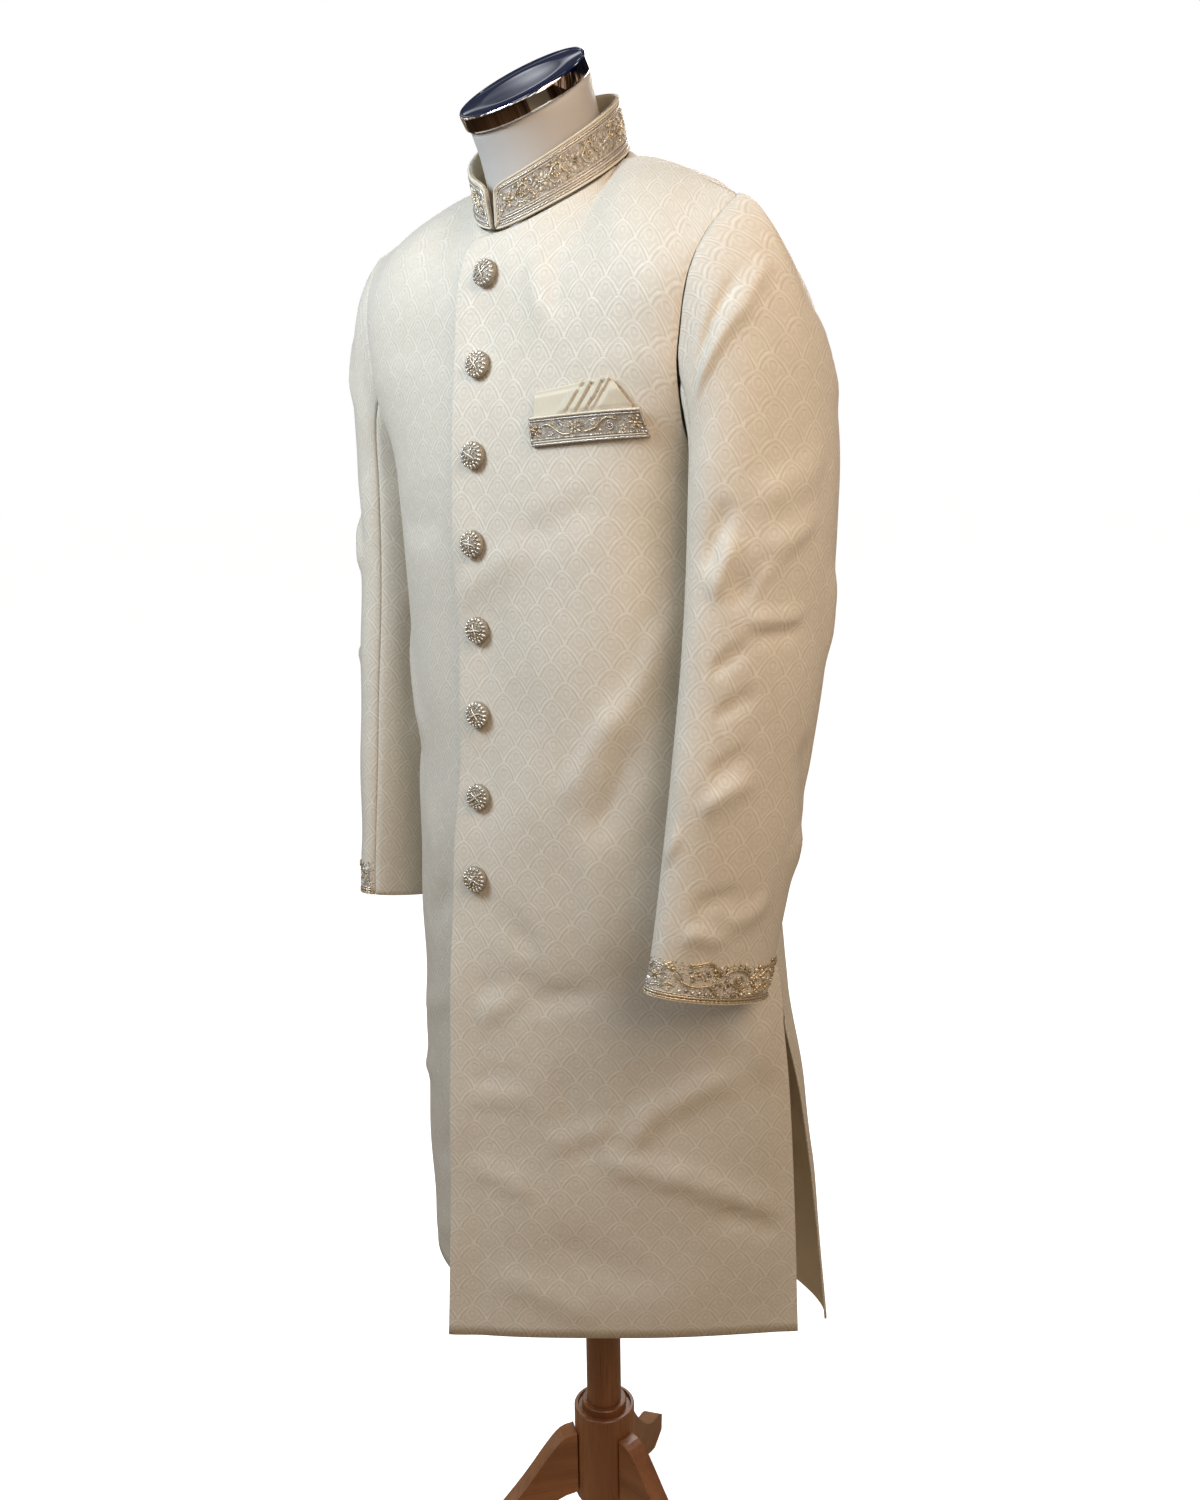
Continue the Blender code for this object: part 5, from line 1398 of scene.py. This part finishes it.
    # clusters running up towards the back
    for x, y, r in ((109, 21, 4.2), (116, 14, 3.8), (121, 27, 4.4), (128, 18, 4.2), (135, 31, 4.0),
                    (141, 22, 4.4), (150, 30, 4.0)):
        work.petals(spot(x, y), 6, r * 0.0006, r * 0.0008, r * 0.0004, GOLD, x, 0.0011)
        work.beads(mm((x, y), (x + r, y + r * 0.6), (x - r * 0.8, y + r * 0.7), (x + r * 0.3, y - r)),
                   bead, GOLD)
    work.cord(mm((107, 24), (112, 29), (119, 33), (127, 33), (133, 37)), 0.0008, GOLD)
    work.cord(mm((108, 11), (116, 8.5), (126, 10), (136, 14), (146, 13), (154, 17)), 0.0009, GOLD)
    work.beads(mm((133, 38), (137, 39.5), (141, 37), (145, 34.5), (110, 31), (114, 34)), bead * 1.1, GOLD)
    # Grey-gilt sequins, darker than the work over them: partly a real fill of sequins, partly painted shade
    # under the raised cords and beads.
    work.scatter((0.003, 0.008), (0.155, 0.033), 0.0020, 0.00060, (0.4, 0.6, 0.45), 0.8)
    work.scatter((0.003, 0.008), (0.155, 0.034), 0.0034, 0.00080, GOLD, 0.8)
    return work.finish(f"cuff_embroidery_{word}", place, flip=side < 0)


class SHERWANI_OT_collar(bpy.types.Operator):
    """Make the band collar and its embroidery"""
    bl_idname = "sherwani.collar"
    bl_label = "Collar"

    def execute(self, context):
        settings = settings_of(context)
        grid = evened(collar_band(420, 19), 420)
        out = wall_directions(grid, 1)
        band = cloth_piece("collar_band", grid, out, panel_weave(grid, 210), "collar",
                           "stitched_ground", "embroidery", COLLAR_WALL)
        width = run_length(grid[:1], 1)[0, -1]
        work = Work(5, 1.15)
        end = width * 1000
        cord, bead = settings.cord_radius, settings.bead_radius

        def loop(inset, low, high):
            """Line up one front end, along the top and down the other end."""
            return mm((inset, low), (inset, (low + high) / 2), (inset, high - 3), (inset + 1.2, high - 0.8),
                      (inset + 4, high), *[(x, high) for x in np.linspace(14, end - 14, 40)],
                      (end - inset - 4, high), (end - inset - 1.2, high - 0.8), (end - inset, high - 3),
                      (end - inset, (low + high) / 2), (end - inset, low))

        def line(inset, level):
            return mm(*[(x, level) for x in np.linspace(inset, end - inset, 48)])

        work.cord(loop(0.4, 0.6, 38.1), 0.00145, CREAM, twist=0.0, lift=0.0)
        work.cord(loop(2.6, 1.6, 35.6), 0.00055, CREAM, twist=0.0)
        work.cord(loop(4.4, 3.0, 34.0), cord, SILVER)
        work.cord(loop(6.5, 4.4, 31.9), 0.00055, PALE)
        work.cord(line(0.6, 0.7), 0.0011, CREAM, twist=0.0)
        work.cord(line(4.4, 3.2), cord, SILVER)
        work.cord(line(5.4, 5.3), 0.0006, CREAM, twist=0.0)
        work.cord(line(6.0, 7.4), cord, SILVER, pitch=0.0036)
        work.cord(line(8.0, 9.6), 0.0005, PALE)
        work.scatter((0.008, 0.0105), (width - 0.008, 0.0312), 0.00165, 0.00050, SILVER, 0.75)
        work.scatter((0.008, 0.0105), (width - 0.008, 0.0312), 0.0031, 0.00055, GOLD, 0.8)
        middle, pitch = 20.6, 34.0
        for k in range(int((end - 18) / pitch)):
            x = 17 + k * pitch
            near = lambda *pairs: mm(*[(x + along, middle + up) for along, up in pairs])
            heart, ring = (CREAM, GOLD) if k % 2 == 0 else (PALE, SILVER)
            work.flower(near((0, 0))[0], 0.0070, heart, ring, 5 + k % 2, 0.4 * k)
            work.cord(near((6, -2), (11, 5), (17, 6.5), (22, -1), (27, -5)), 0.0008, GOLD)
            work.cord(near((5, 4), (10, -4), (15, -7), (21, -5)), 0.0006, SILVER)
            work.spiral(near((15, -1))[0], 0.0031, 1.7, GOLD, 0.00055, k)
            work.spiral(near((23.5, 5.2))[0], 0.0026, 1.6, SILVER, 0.0005, 2 + k)
            work.petals(near((13, 8))[0], 5, 0.0018, 0.0026, 0.0014, CREAM, k)
            work.petals(near((20, -8))[0], 5, 0.0018, 0.0026, 0.0014, CREAM, k + 0.5)
            work.blobs(BALL, near((9, -6.5), (19, 2.5), (27, 1)), (0.0026, 0.0012, 0.0010),
                       0.7 + 0.9 * k, CREAM)
            work.beads(near((9, 8), (11, 1), (18, -2.5), (20, 8.6), (26, -8), (16.5, 9), (-7, -6), (-7, 7),
                            (24, -2)), bead, GOLD)
            work.beads(near((12.5, -9), (28, 8), (6.5, 8.6), (14, 3.5)), bead * 0.9, SILVER)
        trim = work.finish("collar_embroidery", surface_map(grid, out, width, COLLAR_WORK))
        return {"FINISHED"}


PATCH_STEP = 0.002
PATCH_X = np.arange(-0.022, 0.190, PATCH_STEP)
PATCH_Z = np.arange(0.800, 1.396, PATCH_STEP)


def front_patch(face):
    """The left front as a regular lattice: its depth at even steps of x and height.

    Each column of the face is first read at the lattice's heights, and each of those rows is then
    read at the lattice's x.
    """
    columns = [[np.interp(PATCH_Z, line[:, 2], line[:, k]) for k in (0, 1)]
               for line in face.swapaxes(0, 1)]
    x, y = np.array(columns).transpose(1, 2, 0)
    return np.array([np.interp(PATCH_X, x[i], y[i]) for i in range(len(PATCH_Z))])


def on_patch(depth, x, z):
    """Points and outward directions of the left front at x and height z, as arrays."""
    def at(px, pz):
        c = np.clip((px - PATCH_X[0]) / PATCH_STEP, 0, len(PATCH_X) - 1.001)
        r = np.clip((pz - PATCH_Z[0]) / PATCH_STEP, 0, len(PATCH_Z) - 1.001)
        i, j = r.astype(int), c.astype(int)
        a, b = r - i, c - j
        y = ((depth[i, j] * (1 - b) + depth[i, j + 1] * b) * (1 - a)
             + (depth[i + 1, j] * (1 - b) + depth[i + 1, j + 1] * b) * a)
        return np.stack([px, y, pz], -1)
    step = 0.004
    across, up = at(x + step, z) - at(x - step, z), at(x, z + step) - at(x, z - step)
    return at(x, z), unit(np.cross(across, up))


def strip_face(depth, along, up, off):
    """A face lying over the front in the pocket's own directions, moved out by off."""
    rise = math.radians(POCKET_RISE)
    x = POCKET_START[0] + along * math.cos(rise) * CHEST_SLANT
    z = POCKET_START[1] + along * math.sin(rise) + up
    p, out = on_patch(depth, x, z)
    return p + out * off[..., None], out


class SHERWANI_OT_pocket(bpy.types.Operator):
    """Make the welt pocket, its embroidery and the pocket square"""
    bl_idname = "sherwani.pocket"
    bl_label = "Welt pocket and square"

    def execute(self, context):
        settings = settings_of(context)
        depth = front_patch(FACES["front"])
        FACES["depth"] = depth
        half = POCKET_HEIGHT / 2
        along, up = np.meshgrid(np.linspace(0, 1, 90), np.linspace(0, 1, 15))
        off = LAP + WALL + POCKET_FLARE * up
        grid, out = strip_face(depth, along * POCKET_LENGTH + POCKET_SKEW * (1 - up), (up * 2 - 1) * half,
                               off)
        welt = cloth_piece("pocket_welt", grid, out, panel_weave(grid, 0), "welt_pocket",
                           "stitched_ground", "embroidery")
        bead = settings.bead_radius
        work = Work(21, 1.10)
        end = POCKET_LENGTH * 1000
        across = lambda level, inset=0.8: mm(*[(x, level) for x in np.linspace(inset, end - inset, 14)])
        work.cord(across(22.6), 0.0011, PALE)
        work.cord(across(20.2), 0.0007, SILVER)
        work.cord(across(0.9), 0.0010, SILVER)
        work.cord(across(3.0), 0.0006, CREAM, twist=0.0)
        work.beads(mm(*[(x, 4.9) for x in np.linspace(1.6, end - 1.6, 52)]), 0.00092, SILVER)
        for x in (0.7, end - 0.7):
            work.cord(mm((x, 1.5), (x, 11), (x, 22)), 0.0008, SILVER)
        work.scatter((0.002, 0.0062), (POCKET_LENGTH - 0.002, 0.0192), 0.0014, 0.00045, SILVER, 0.85)
        work.cord(mm((15, 15.5), (19, 16.4), (23, 15.6), (28, 12.4), (33, 8.8), (38, 7.4), (43, 7.2)),
                  0.0009, GOLD)
        work.cord(mm((57, 8.2), (63, 8.8), (69, 10.8), (74, 14.6), (79, 17.4), (84, 17.4), (88, 15.8)),
                  0.0009, GOLD)
        work.cord(mm((18, 8), (23, 7.6), (26, 9.8)), 0.0006, SILVER)
        work.cord(mm((63, 15.4), (68, 17.4), (72, 17.6)), 0.0006, SILVER)
        work.spiral(spot(34, 15.2), 0.0034, 1.8, SILVER)
        work.spiral(spot(81.5, 11), 0.0040, 2.0, SILVER, 0.0005, 1.0)
        work.spiral(spot(67, 14), 0.0026, 1.6, PALE)
        work.flower(spot(49.5, 12), 0.0052, PALE, GOLD, 6)
        work.beads(mm((45, 8.4), (54, 8.6), (45.5, 16.4), (53.5, 16.8), (43, 13), (56.5, 13), (72.5, 8),
                      (88, 18.4)), bead, GOLD)
        for x in (6.0, end - 6.5):
            work.petals(spot(x, 12.5), 6, 0.0030, 0.0038, 0.0018, GOLD, x, 0.0011)
            work.beads(mm((x, 12.5), (x - 3, 17), (x + 3.5, 17.6), (x - 3.4, 8.2), (x + 3, 7.8),
                          (x + 6.2, 14.6), (x + 6.0, 10.2)), bead, GOLD)
        work.petals(spot(26, 17.8), 5, 0.0014, 0.0020, 0.0011, CREAM)
        work.petals(spot(92, 9), 5, 0.0018, 0.0024, 0.0013, CREAM)
        trim = work.finish("welt_embroidery", surface_map(grid, out, POCKET_LENGTH, POCKET_HEIGHT))
        self.square(depth)
        return {"FINISHED"}

    def square(self, depth):
        """The square: a flat folded part, then pleats that lean outwards to staggered points.

        The face stands further off the front in each pleat towards its folded edge and falls back
        at the next one, a saw-tooth along slanted lines.
        """
        half = POCKET_HEIGHT / 2
        start = (POCKET_LENGTH - SQUARE_LENGTH) * 0.35
        s, v = np.meshgrid(np.linspace(0, 1, 120), np.linspace(0, 1, 26))
        shares = (0.0, 0.46, 0.66, 0.665, 0.765, 0.77, 0.83, 0.87, 0.90, 1.0)
        peaks = (0.80, 0.90, 0.97, 0.88, 1.0, 0.93, 0.99, 0.80, 0.66, 0.04)
        top = half + 0.002 + (SQUARE_RISE - 0.002) * np.interp(s, shares, peaks)
        up = (half - SQUARE_TUCK) * (1 - v) + top * v
        lean = s + 0.30 * (1 - v)
        teeth = np.interp(lean, (0, 0.44, 0.560, 0.568, 0.675, 0.683, 0.785, 0.793, 0.845, 0.853, 0.93, 1.2),
                          (0.0, 0.0, 0.0024, 0.0, 0.0026, 0.0, 0.0026, 0.0, 0.0020, 0.0, 0.0016, 0.0))
        fold = 0.88 - 0.04 * s
        off = LAP + 0.0034 + teeth * ease((up - half) / 0.004) - 0.0016 * (v > fold) * (s < 0.60)
        behind_welt = LAP + POCKET_FLARE * (up + half) / POCKET_HEIGHT
        off = np.where(up < half, np.minimum(off, behind_welt), off)
        grid, out = strip_face(depth, start + s * SQUARE_LENGTH, up, off)
        weave = np.stack([run_length(grid, 1) * 0.7, run_length(grid, 0) * 0.7 + 0.011], -1)
        piece = cloth_piece("folded_square", grid, out, weave, "pocket_square", "cream_silk", wall=0.0016)


class SHERWANI_OT_buttons(bpy.types.Operator):
    """Make the eight beaded buttons"""
    bl_idname = "sherwani.buttons"
    bl_label = "Buttons"

    def execute(self, context):
        for i in range(BUTTON_COUNT):
            self.button(i)
        return {"FINISHED"}

    def button(self, i):
        """A cream dome with loops round its rim, a ring of beads, and two cords crossing its crown."""
        height = FIRST_BUTTON - i * BUTTON_PITCH
        (point,), (normal,) = on_patch(FACES["depth"], np.array([0.0]), np.array([height]))
        to_place = np.array(Matrix(Vector(normal).to_track_quat("Z", "Y").to_matrix()))
        seat = point + normal * LAP

        def dome(r):
            fall = np.clip(1 - (r / (BUTTON_RADIUS * 1.03)) ** 2, 0, 1)
            return BUTTON_RIM + (BUTTON_DOME - 0.0007) * np.sqrt(fall)

        def place(flat):
            along, up, off = flat.T
            r = np.hypot(along, up)
            slope = np.clip(r / BUTTON_RADIUS, 0, 1) ** 2
            reach = 1 + off * slope / np.maximum(r, 1e-6)
            bent = np.stack([along * reach, up * reach, dome(r) + off * (1 - 0.6 * slope)], -1)
            return seat + bent @ to_place.T

        work = Work(40 + i)
        steps = 40
        turn = np.arange(steps) * 2 * np.pi / steps
        rim = BUTTON_RADIUS - 0.0008
        profile = [(r * rim, dome(r * rim)) for r in (0.14, 0.30, 0.46, 0.62, 0.76, 0.88, 0.96, 1.0)]
        profile += [(rim + 0.0004, BUTTON_RIM), (rim + 0.0004, 0.0010), (rim - 0.0010, 0.0), (rim * 0.5, 0.0)]
        r, z = np.array(profile).T
        rings = np.stack([r[:, None] * np.cos(turn), r[:, None] * np.sin(turn), z[:, None] + 0 * turn], -1)
        quads, fans = tube_faces(len(profile), steps)
        body = np.concatenate([rings.reshape(-1, 3), [[0, 0, dome(0.0)], [0, 0, 0]]]) @ to_place.T + seat
        # loops round the rim, a ring of beads inside them, and the crossed cords on the crown
        a = np.arange(17) * 2 * np.pi / 17
        at = np.stack([np.cos(a), np.sin(a)], -1)
        work.blobs(BALL, at * 0.0098, (0.0018, 0.00125, 0.0011), a, (0.2, 1.0, 0.85))
        b = np.arange(12) * 2 * np.pi / 12 + 0.1
        work.beads(np.stack([np.cos(b), np.sin(b)], -1) * 0.0070, 0.00100, (0.6, 1.0, 0.85))
        tilt = math.radians(28 + 17 * i)
        for k, thread in ((0, (0.1, 1.0, 1.0)), (1, PALE)):
            c, s = math.cos(tilt + k * 1.35), math.sin(tilt + k * 1.35)
            x = np.linspace(-0.0066, 0.0066, 9)
            y = 0.0009 * np.sin(x / 0.0066 * 2.4)
            work.cord(np.stack([x * c - y * s, x * s + y * c], -1), 0.00085, thread, lift=0.7 + 0.9 * k)
        for k in range(4):
            q = tilt + 0.7 + k * math.pi / 2
            work.spiral((0.0042 * math.cos(q), 0.0042 * math.sin(q)), 0.0017, 1.0, SILVER, 0.00055, q)
        sewn = Work(80 + i)
        sewn.add(body, turned_over(quads), fans[:, [1, 0, 2]], BUTTON_CLOTH)
        sewn.add(place(np.concatenate(work.points)), np.concatenate(work.quads),
                 np.concatenate(work.triangles), np.concatenate(work.thread))
        sewn.finish(f"beaded_button_{i + 1}", lambda p: p, slot="button", replaced=(f"button_{i + 1}",))


def between(rings, per):
    """Smooth rings between a few given ones: a cubic through each point with its neighbours' slope."""
    at = np.linspace(0, len(rings) - 1, (len(rings) - 1) * per + 1)
    i = np.clip(at.astype(int), 0, len(rings) - 2)
    t = (at - i)[:, None, None]
    slope = np.gradient(rings, axis=0)
    return cubic(t, 1.0, rings[i], slope[i], rings[i + 1], slope[i + 1])


def stacked(name, rings, finish, slot, replaced):
    """A closed piece through rings that run counter-clockwise and rise, with a fan at each end."""
    points = np.concatenate([rings.reshape(-1, 3), [rings[0].mean(0)], [rings[-1].mean(0)]])
    return put(name, points, *tube_faces(*rings.shape[:2]), [finish], slot, {}, replaced)


def lathe(profile, steps):
    """Rings of a turned piece: each (radius, height) of its profile carried round the Z axis."""
    a = np.linspace(0, 2 * np.pi, steps, endpoint=False)
    r, z = np.array(profile).T
    return np.stack([r[:, None] * np.sin(a), -r[:, None] * np.cos(a), z[:, None] + 0 * a], -1)


class SHERWANI_OT_form(bpy.types.Operator):
    """Make the dress form and its chrome neck cap"""
    bl_idname = "sherwani.form"
    bl_label = "Dress form and cap"

    def execute(self, context):
        rings = between(torso_rings(96), 4)
        stacked("form_body", rings, "form_skin", "form", ("dress_form",))
        r, h = CAP_RADIUS, CAP_HEIGHT
        profile = [(0.002, 0.0), (r - 0.0020, 0.0), (r - 0.0013, 0.00015), (r - 0.0004, 0.0009),
                   (r - 0.00005, 0.0022), (r, 0.0026), (r, h - 0.0032), (r - 0.00005, h - 0.0028),
                   (r - 0.0005, h - 0.0010), (r - 0.0013, h - 0.0001), (r - 0.0021, h),
                   (r - 0.0030, h - 0.0003), (r - 0.0036, h - 0.0008), (r - 0.0040, h - 0.0009),
                   (r * 0.6, h - 0.0009), (0.002, h - 0.0009)]
        tilt = math.radians(CAP_TILT)
        down = np.array([0, math.sin(tilt), -math.cos(tilt)])
        lean = np.array([[1, 0, 0], [0, math.cos(tilt), -math.sin(tilt)],
                         [0, math.sin(tilt), math.cos(tilt)]])
        rings = lathe(profile, 128) @ lean.T + np.array(CAP_CENTRE) + down * h
        stacked("chrome_cap", rings, "polished_chrome", "chrome", ("neck_cap",))
        return {"FINISHED"}


class SHERWANI_OT_stand(bpy.types.Operator):
    """Finish the pole, hub and legs of the stand"""
    bl_idname = "sherwani.stand"
    bl_label = "Stand"

    def execute(self, context):
        finishes = {"pole": "turned_wood", "hub": "turned_wood"}
        finishes |= {f"leg_{i + 1}": f"sawn_wood_{i + 1}" for i in range(LEG_COUNT)}
        for node, finish in finishes.items():
            piece = bpy.data.objects[node]
            if not piece.material_slots:
                piece.data.materials.append(bpy.data.materials[finish])
            for slot in piece.material_slots:
                slot.material = bpy.data.materials[finish]
        return {"FINISHED"}


CAMERA_PLACE = (0.9348, -0.9345, 1.2242)
CAMERA_RIGHT = (0.7155, 0.6985, -0.0143)
CAMERA_UP = (-0.1317, 0.1550, 0.9791)
CAMERA_BACK = (0.6861, -0.6986, 0.2028)
CAMERA_LENS = 32.77
CAMERA_SHIFT = (-0.0037, -0.0122)
FLOOR_RADIUS, FLOOR_RINGS, FLOOR_STEPS = 30.0, 14, 48
# name, place, aim, width and height in metres, power in watts, colour
LAMPS = (
    ("key", (-0.38, -1.14, 1.98), (0.0, -0.14, 1.24), 0.55, 0.55, 20.0, (0.76, 0.88, 1.0)),
    ("warm_side", (1.28, -0.42, 1.80), (0.22, -0.04, 1.05), 0.85, 0.85, 14.0, (1.0, 0.80, 0.63)),
    ("back", (-0.90, 1.70, 2.10), (0.0, 0.0, 1.10), 1.2, 1.2, 30.0, (1.0, 0.97, 0.93)),
)


class SHERWANI_OT_stage(bpy.types.Operator):
    """Lay the pale floor and set the lights, the surround and the camera"""
    bl_idname = "sherwani.stage"
    bl_label = "Studio"

    def execute(self, context):
        scene = context.scene
        self.floor()
        for lamp in LAMPS:
            self.lamp(scene, *lamp)
        self.surround(scene)
        self.camera(scene)
        scene.view_settings.view_transform = "Standard"
        return {"FINISHED"}

    def floor(self):
        """A disc: rings that widen as the square of their number, closed at the middle."""
        radii = [FLOOR_RADIUS * (k / FLOOR_RINGS) ** 2 for k in range(1, FLOOR_RINGS + 1)]
        rings = lathe([(radius, 0.0) for radius in radii], FLOOR_STEPS)
        points = np.concatenate([rings.reshape(-1, 3), [[0, 0, 0]]])
        quads, fans = tube_faces(FLOOR_RINGS, FLOOR_STEPS)
        middle = fans[:FLOOR_STEPS, [1, 0, 2]]
        mesh = bpy.data.meshes.new("studio_floor")
        mesh.from_pydata(points.tolist(), [], turned_over(quads).tolist() + middle.tolist())
        mesh.materials.append(bpy.data.materials["pale_floor"])
        floor = bpy.data.objects.new("studio_floor", mesh)
        bpy.context.scene.collection.objects.link(floor)

    def lamp(self, scene, name, place, aim, width, height, power, colour):
        light = bpy.data.lights.new(name, "AREA")
        light.shape = "RECTANGLE"
        light.size, light.size_y = width, height
        light.energy, light.color = power, colour
        lamp = bpy.data.objects.new(name, light)
        lamp.location = place
        lamp.rotation_mode = "QUATERNION"
        lamp.rotation_quaternion = (Vector(aim) - Vector(place)).to_track_quat("-Z", "Y")
        lamp.visible_camera = False
        scene.collection.objects.link(lamp)

    def surround(self, scene):
        """Pale all round for light and for the eye; for mirrors a shop's dark blue and brown, in
        upright bands low down and clouds higher up, with white openings."""
        world = bpy.data.worlds.new("studio")
        world.use_nodes = True
        scene.world = world
        tree = world.node_tree
        n = Nodes(tree)
        pale = tree.nodes["Background"]
        pale.inputs["Color"].default_value = (1.0, 0.90, 0.78, 1.0)
        pale.inputs["Strength"].default_value = 0.17
        seen = n.add("ShaderNodeBackground", (1.0, 1.0, 1.0, 1.0), 1.0)
        way = n.add("ShaderNodeTexCoord", out=0)
        streak = n.noise(n.stretched(way, (9.0, 9.0, 0.35)), 1.0, 3.0, 0.65)
        cloud = n.noise(way, 2.3, 3.0, 0.6)
        low = n.blend(n.ramp(streak, 0.40, 0.50), rgba((0.03, 0.025, 0.025)), rgba((0.30, 0.22, 0.15)))
        low = n.blend(n.ramp(streak, 0.53, 0.57), low, rgba((1.5, 1.45, 1.35)))
        high = n.blend(n.ramp(cloud, 0.40, 0.52), rgba((0.006, 0.010, 0.055)), rgba((0.03, 0.035, 0.06)))
        high = n.blend(n.ramp(cloud, 0.60, 0.66), high, rgba((0.85, 0.88, 0.95)))
        mirrored = n.add("ShaderNodeBackground", n.blend(n.ramp(n.parts(way)[2], 0.22, 0.34), low, high))
        path = tree.nodes.new("ShaderNodeLightPath").outputs
        shown = n.add("ShaderNodeMixShader", path["Is Camera Ray"], pale.outputs[0], seen)
        shown = n.add("ShaderNodeMixShader", path["Is Glossy Ray"], shown, mirrored)
        n.join(shown, tree.nodes["World Output"].inputs[0])

    def camera(self, scene):
        data = bpy.data.cameras.new("camera")
        data.lens = CAMERA_LENS
        data.sensor_width = 36.0
        data.shift_x, data.shift_y = CAMERA_SHIFT
        camera = bpy.data.objects.new("camera", data)
        axes = Matrix((CAMERA_RIGHT, CAMERA_UP, CAMERA_BACK)).transposed()
        camera.matrix_world = Matrix.Translation(CAMERA_PLACE) @ axes.to_4x4()
        scene.collection.objects.link(camera)
        scene.camera = camera


class SHERWANI_PT_panel(bpy.types.Panel):
    """Sizes, colours and the steps that build the coat"""
    bl_idname = "SHERWANI_PT_panel"
    bl_label = "Sherwani coat"
    bl_space_type = "VIEW_3D"
    bl_region_type = "UI"
    bl_category = "Sherwani"

    def draw(self, context):
        settings = settings_of(context)
        for word in SherwaniSettings.__annotations__:
            self.layout.prop(settings, word)
        for step in STEPS:
            self.layout.operator(step.bl_idname)


STEPS = (SHERWANI_OT_finishes, SHERWANI_OT_form, SHERWANI_OT_panels, SHERWANI_OT_sleeves, SHERWANI_OT_collar,
         SHERWANI_OT_pocket, SHERWANI_OT_buttons, SHERWANI_OT_stand, SHERWANI_OT_stage)
CLASSES = (SherwaniSettings, *STEPS, SHERWANI_PT_panel)


def register():
    for made in CLASSES:
        bpy.utils.register_class(made)
    bpy.types.Scene.sherwani = bpy.props.PointerProperty(type=SherwaniSettings)


def unregister():
    del bpy.types.Scene.sherwani
    for made in reversed(CLASSES):
        bpy.utils.unregister_class(made)


def main():
    register()
    for step in STEPS:
        family, word = step.bl_idname.split(".")
        getattr(getattr(bpy.ops, family), word)()


if __name__ == "__main__":
    main()
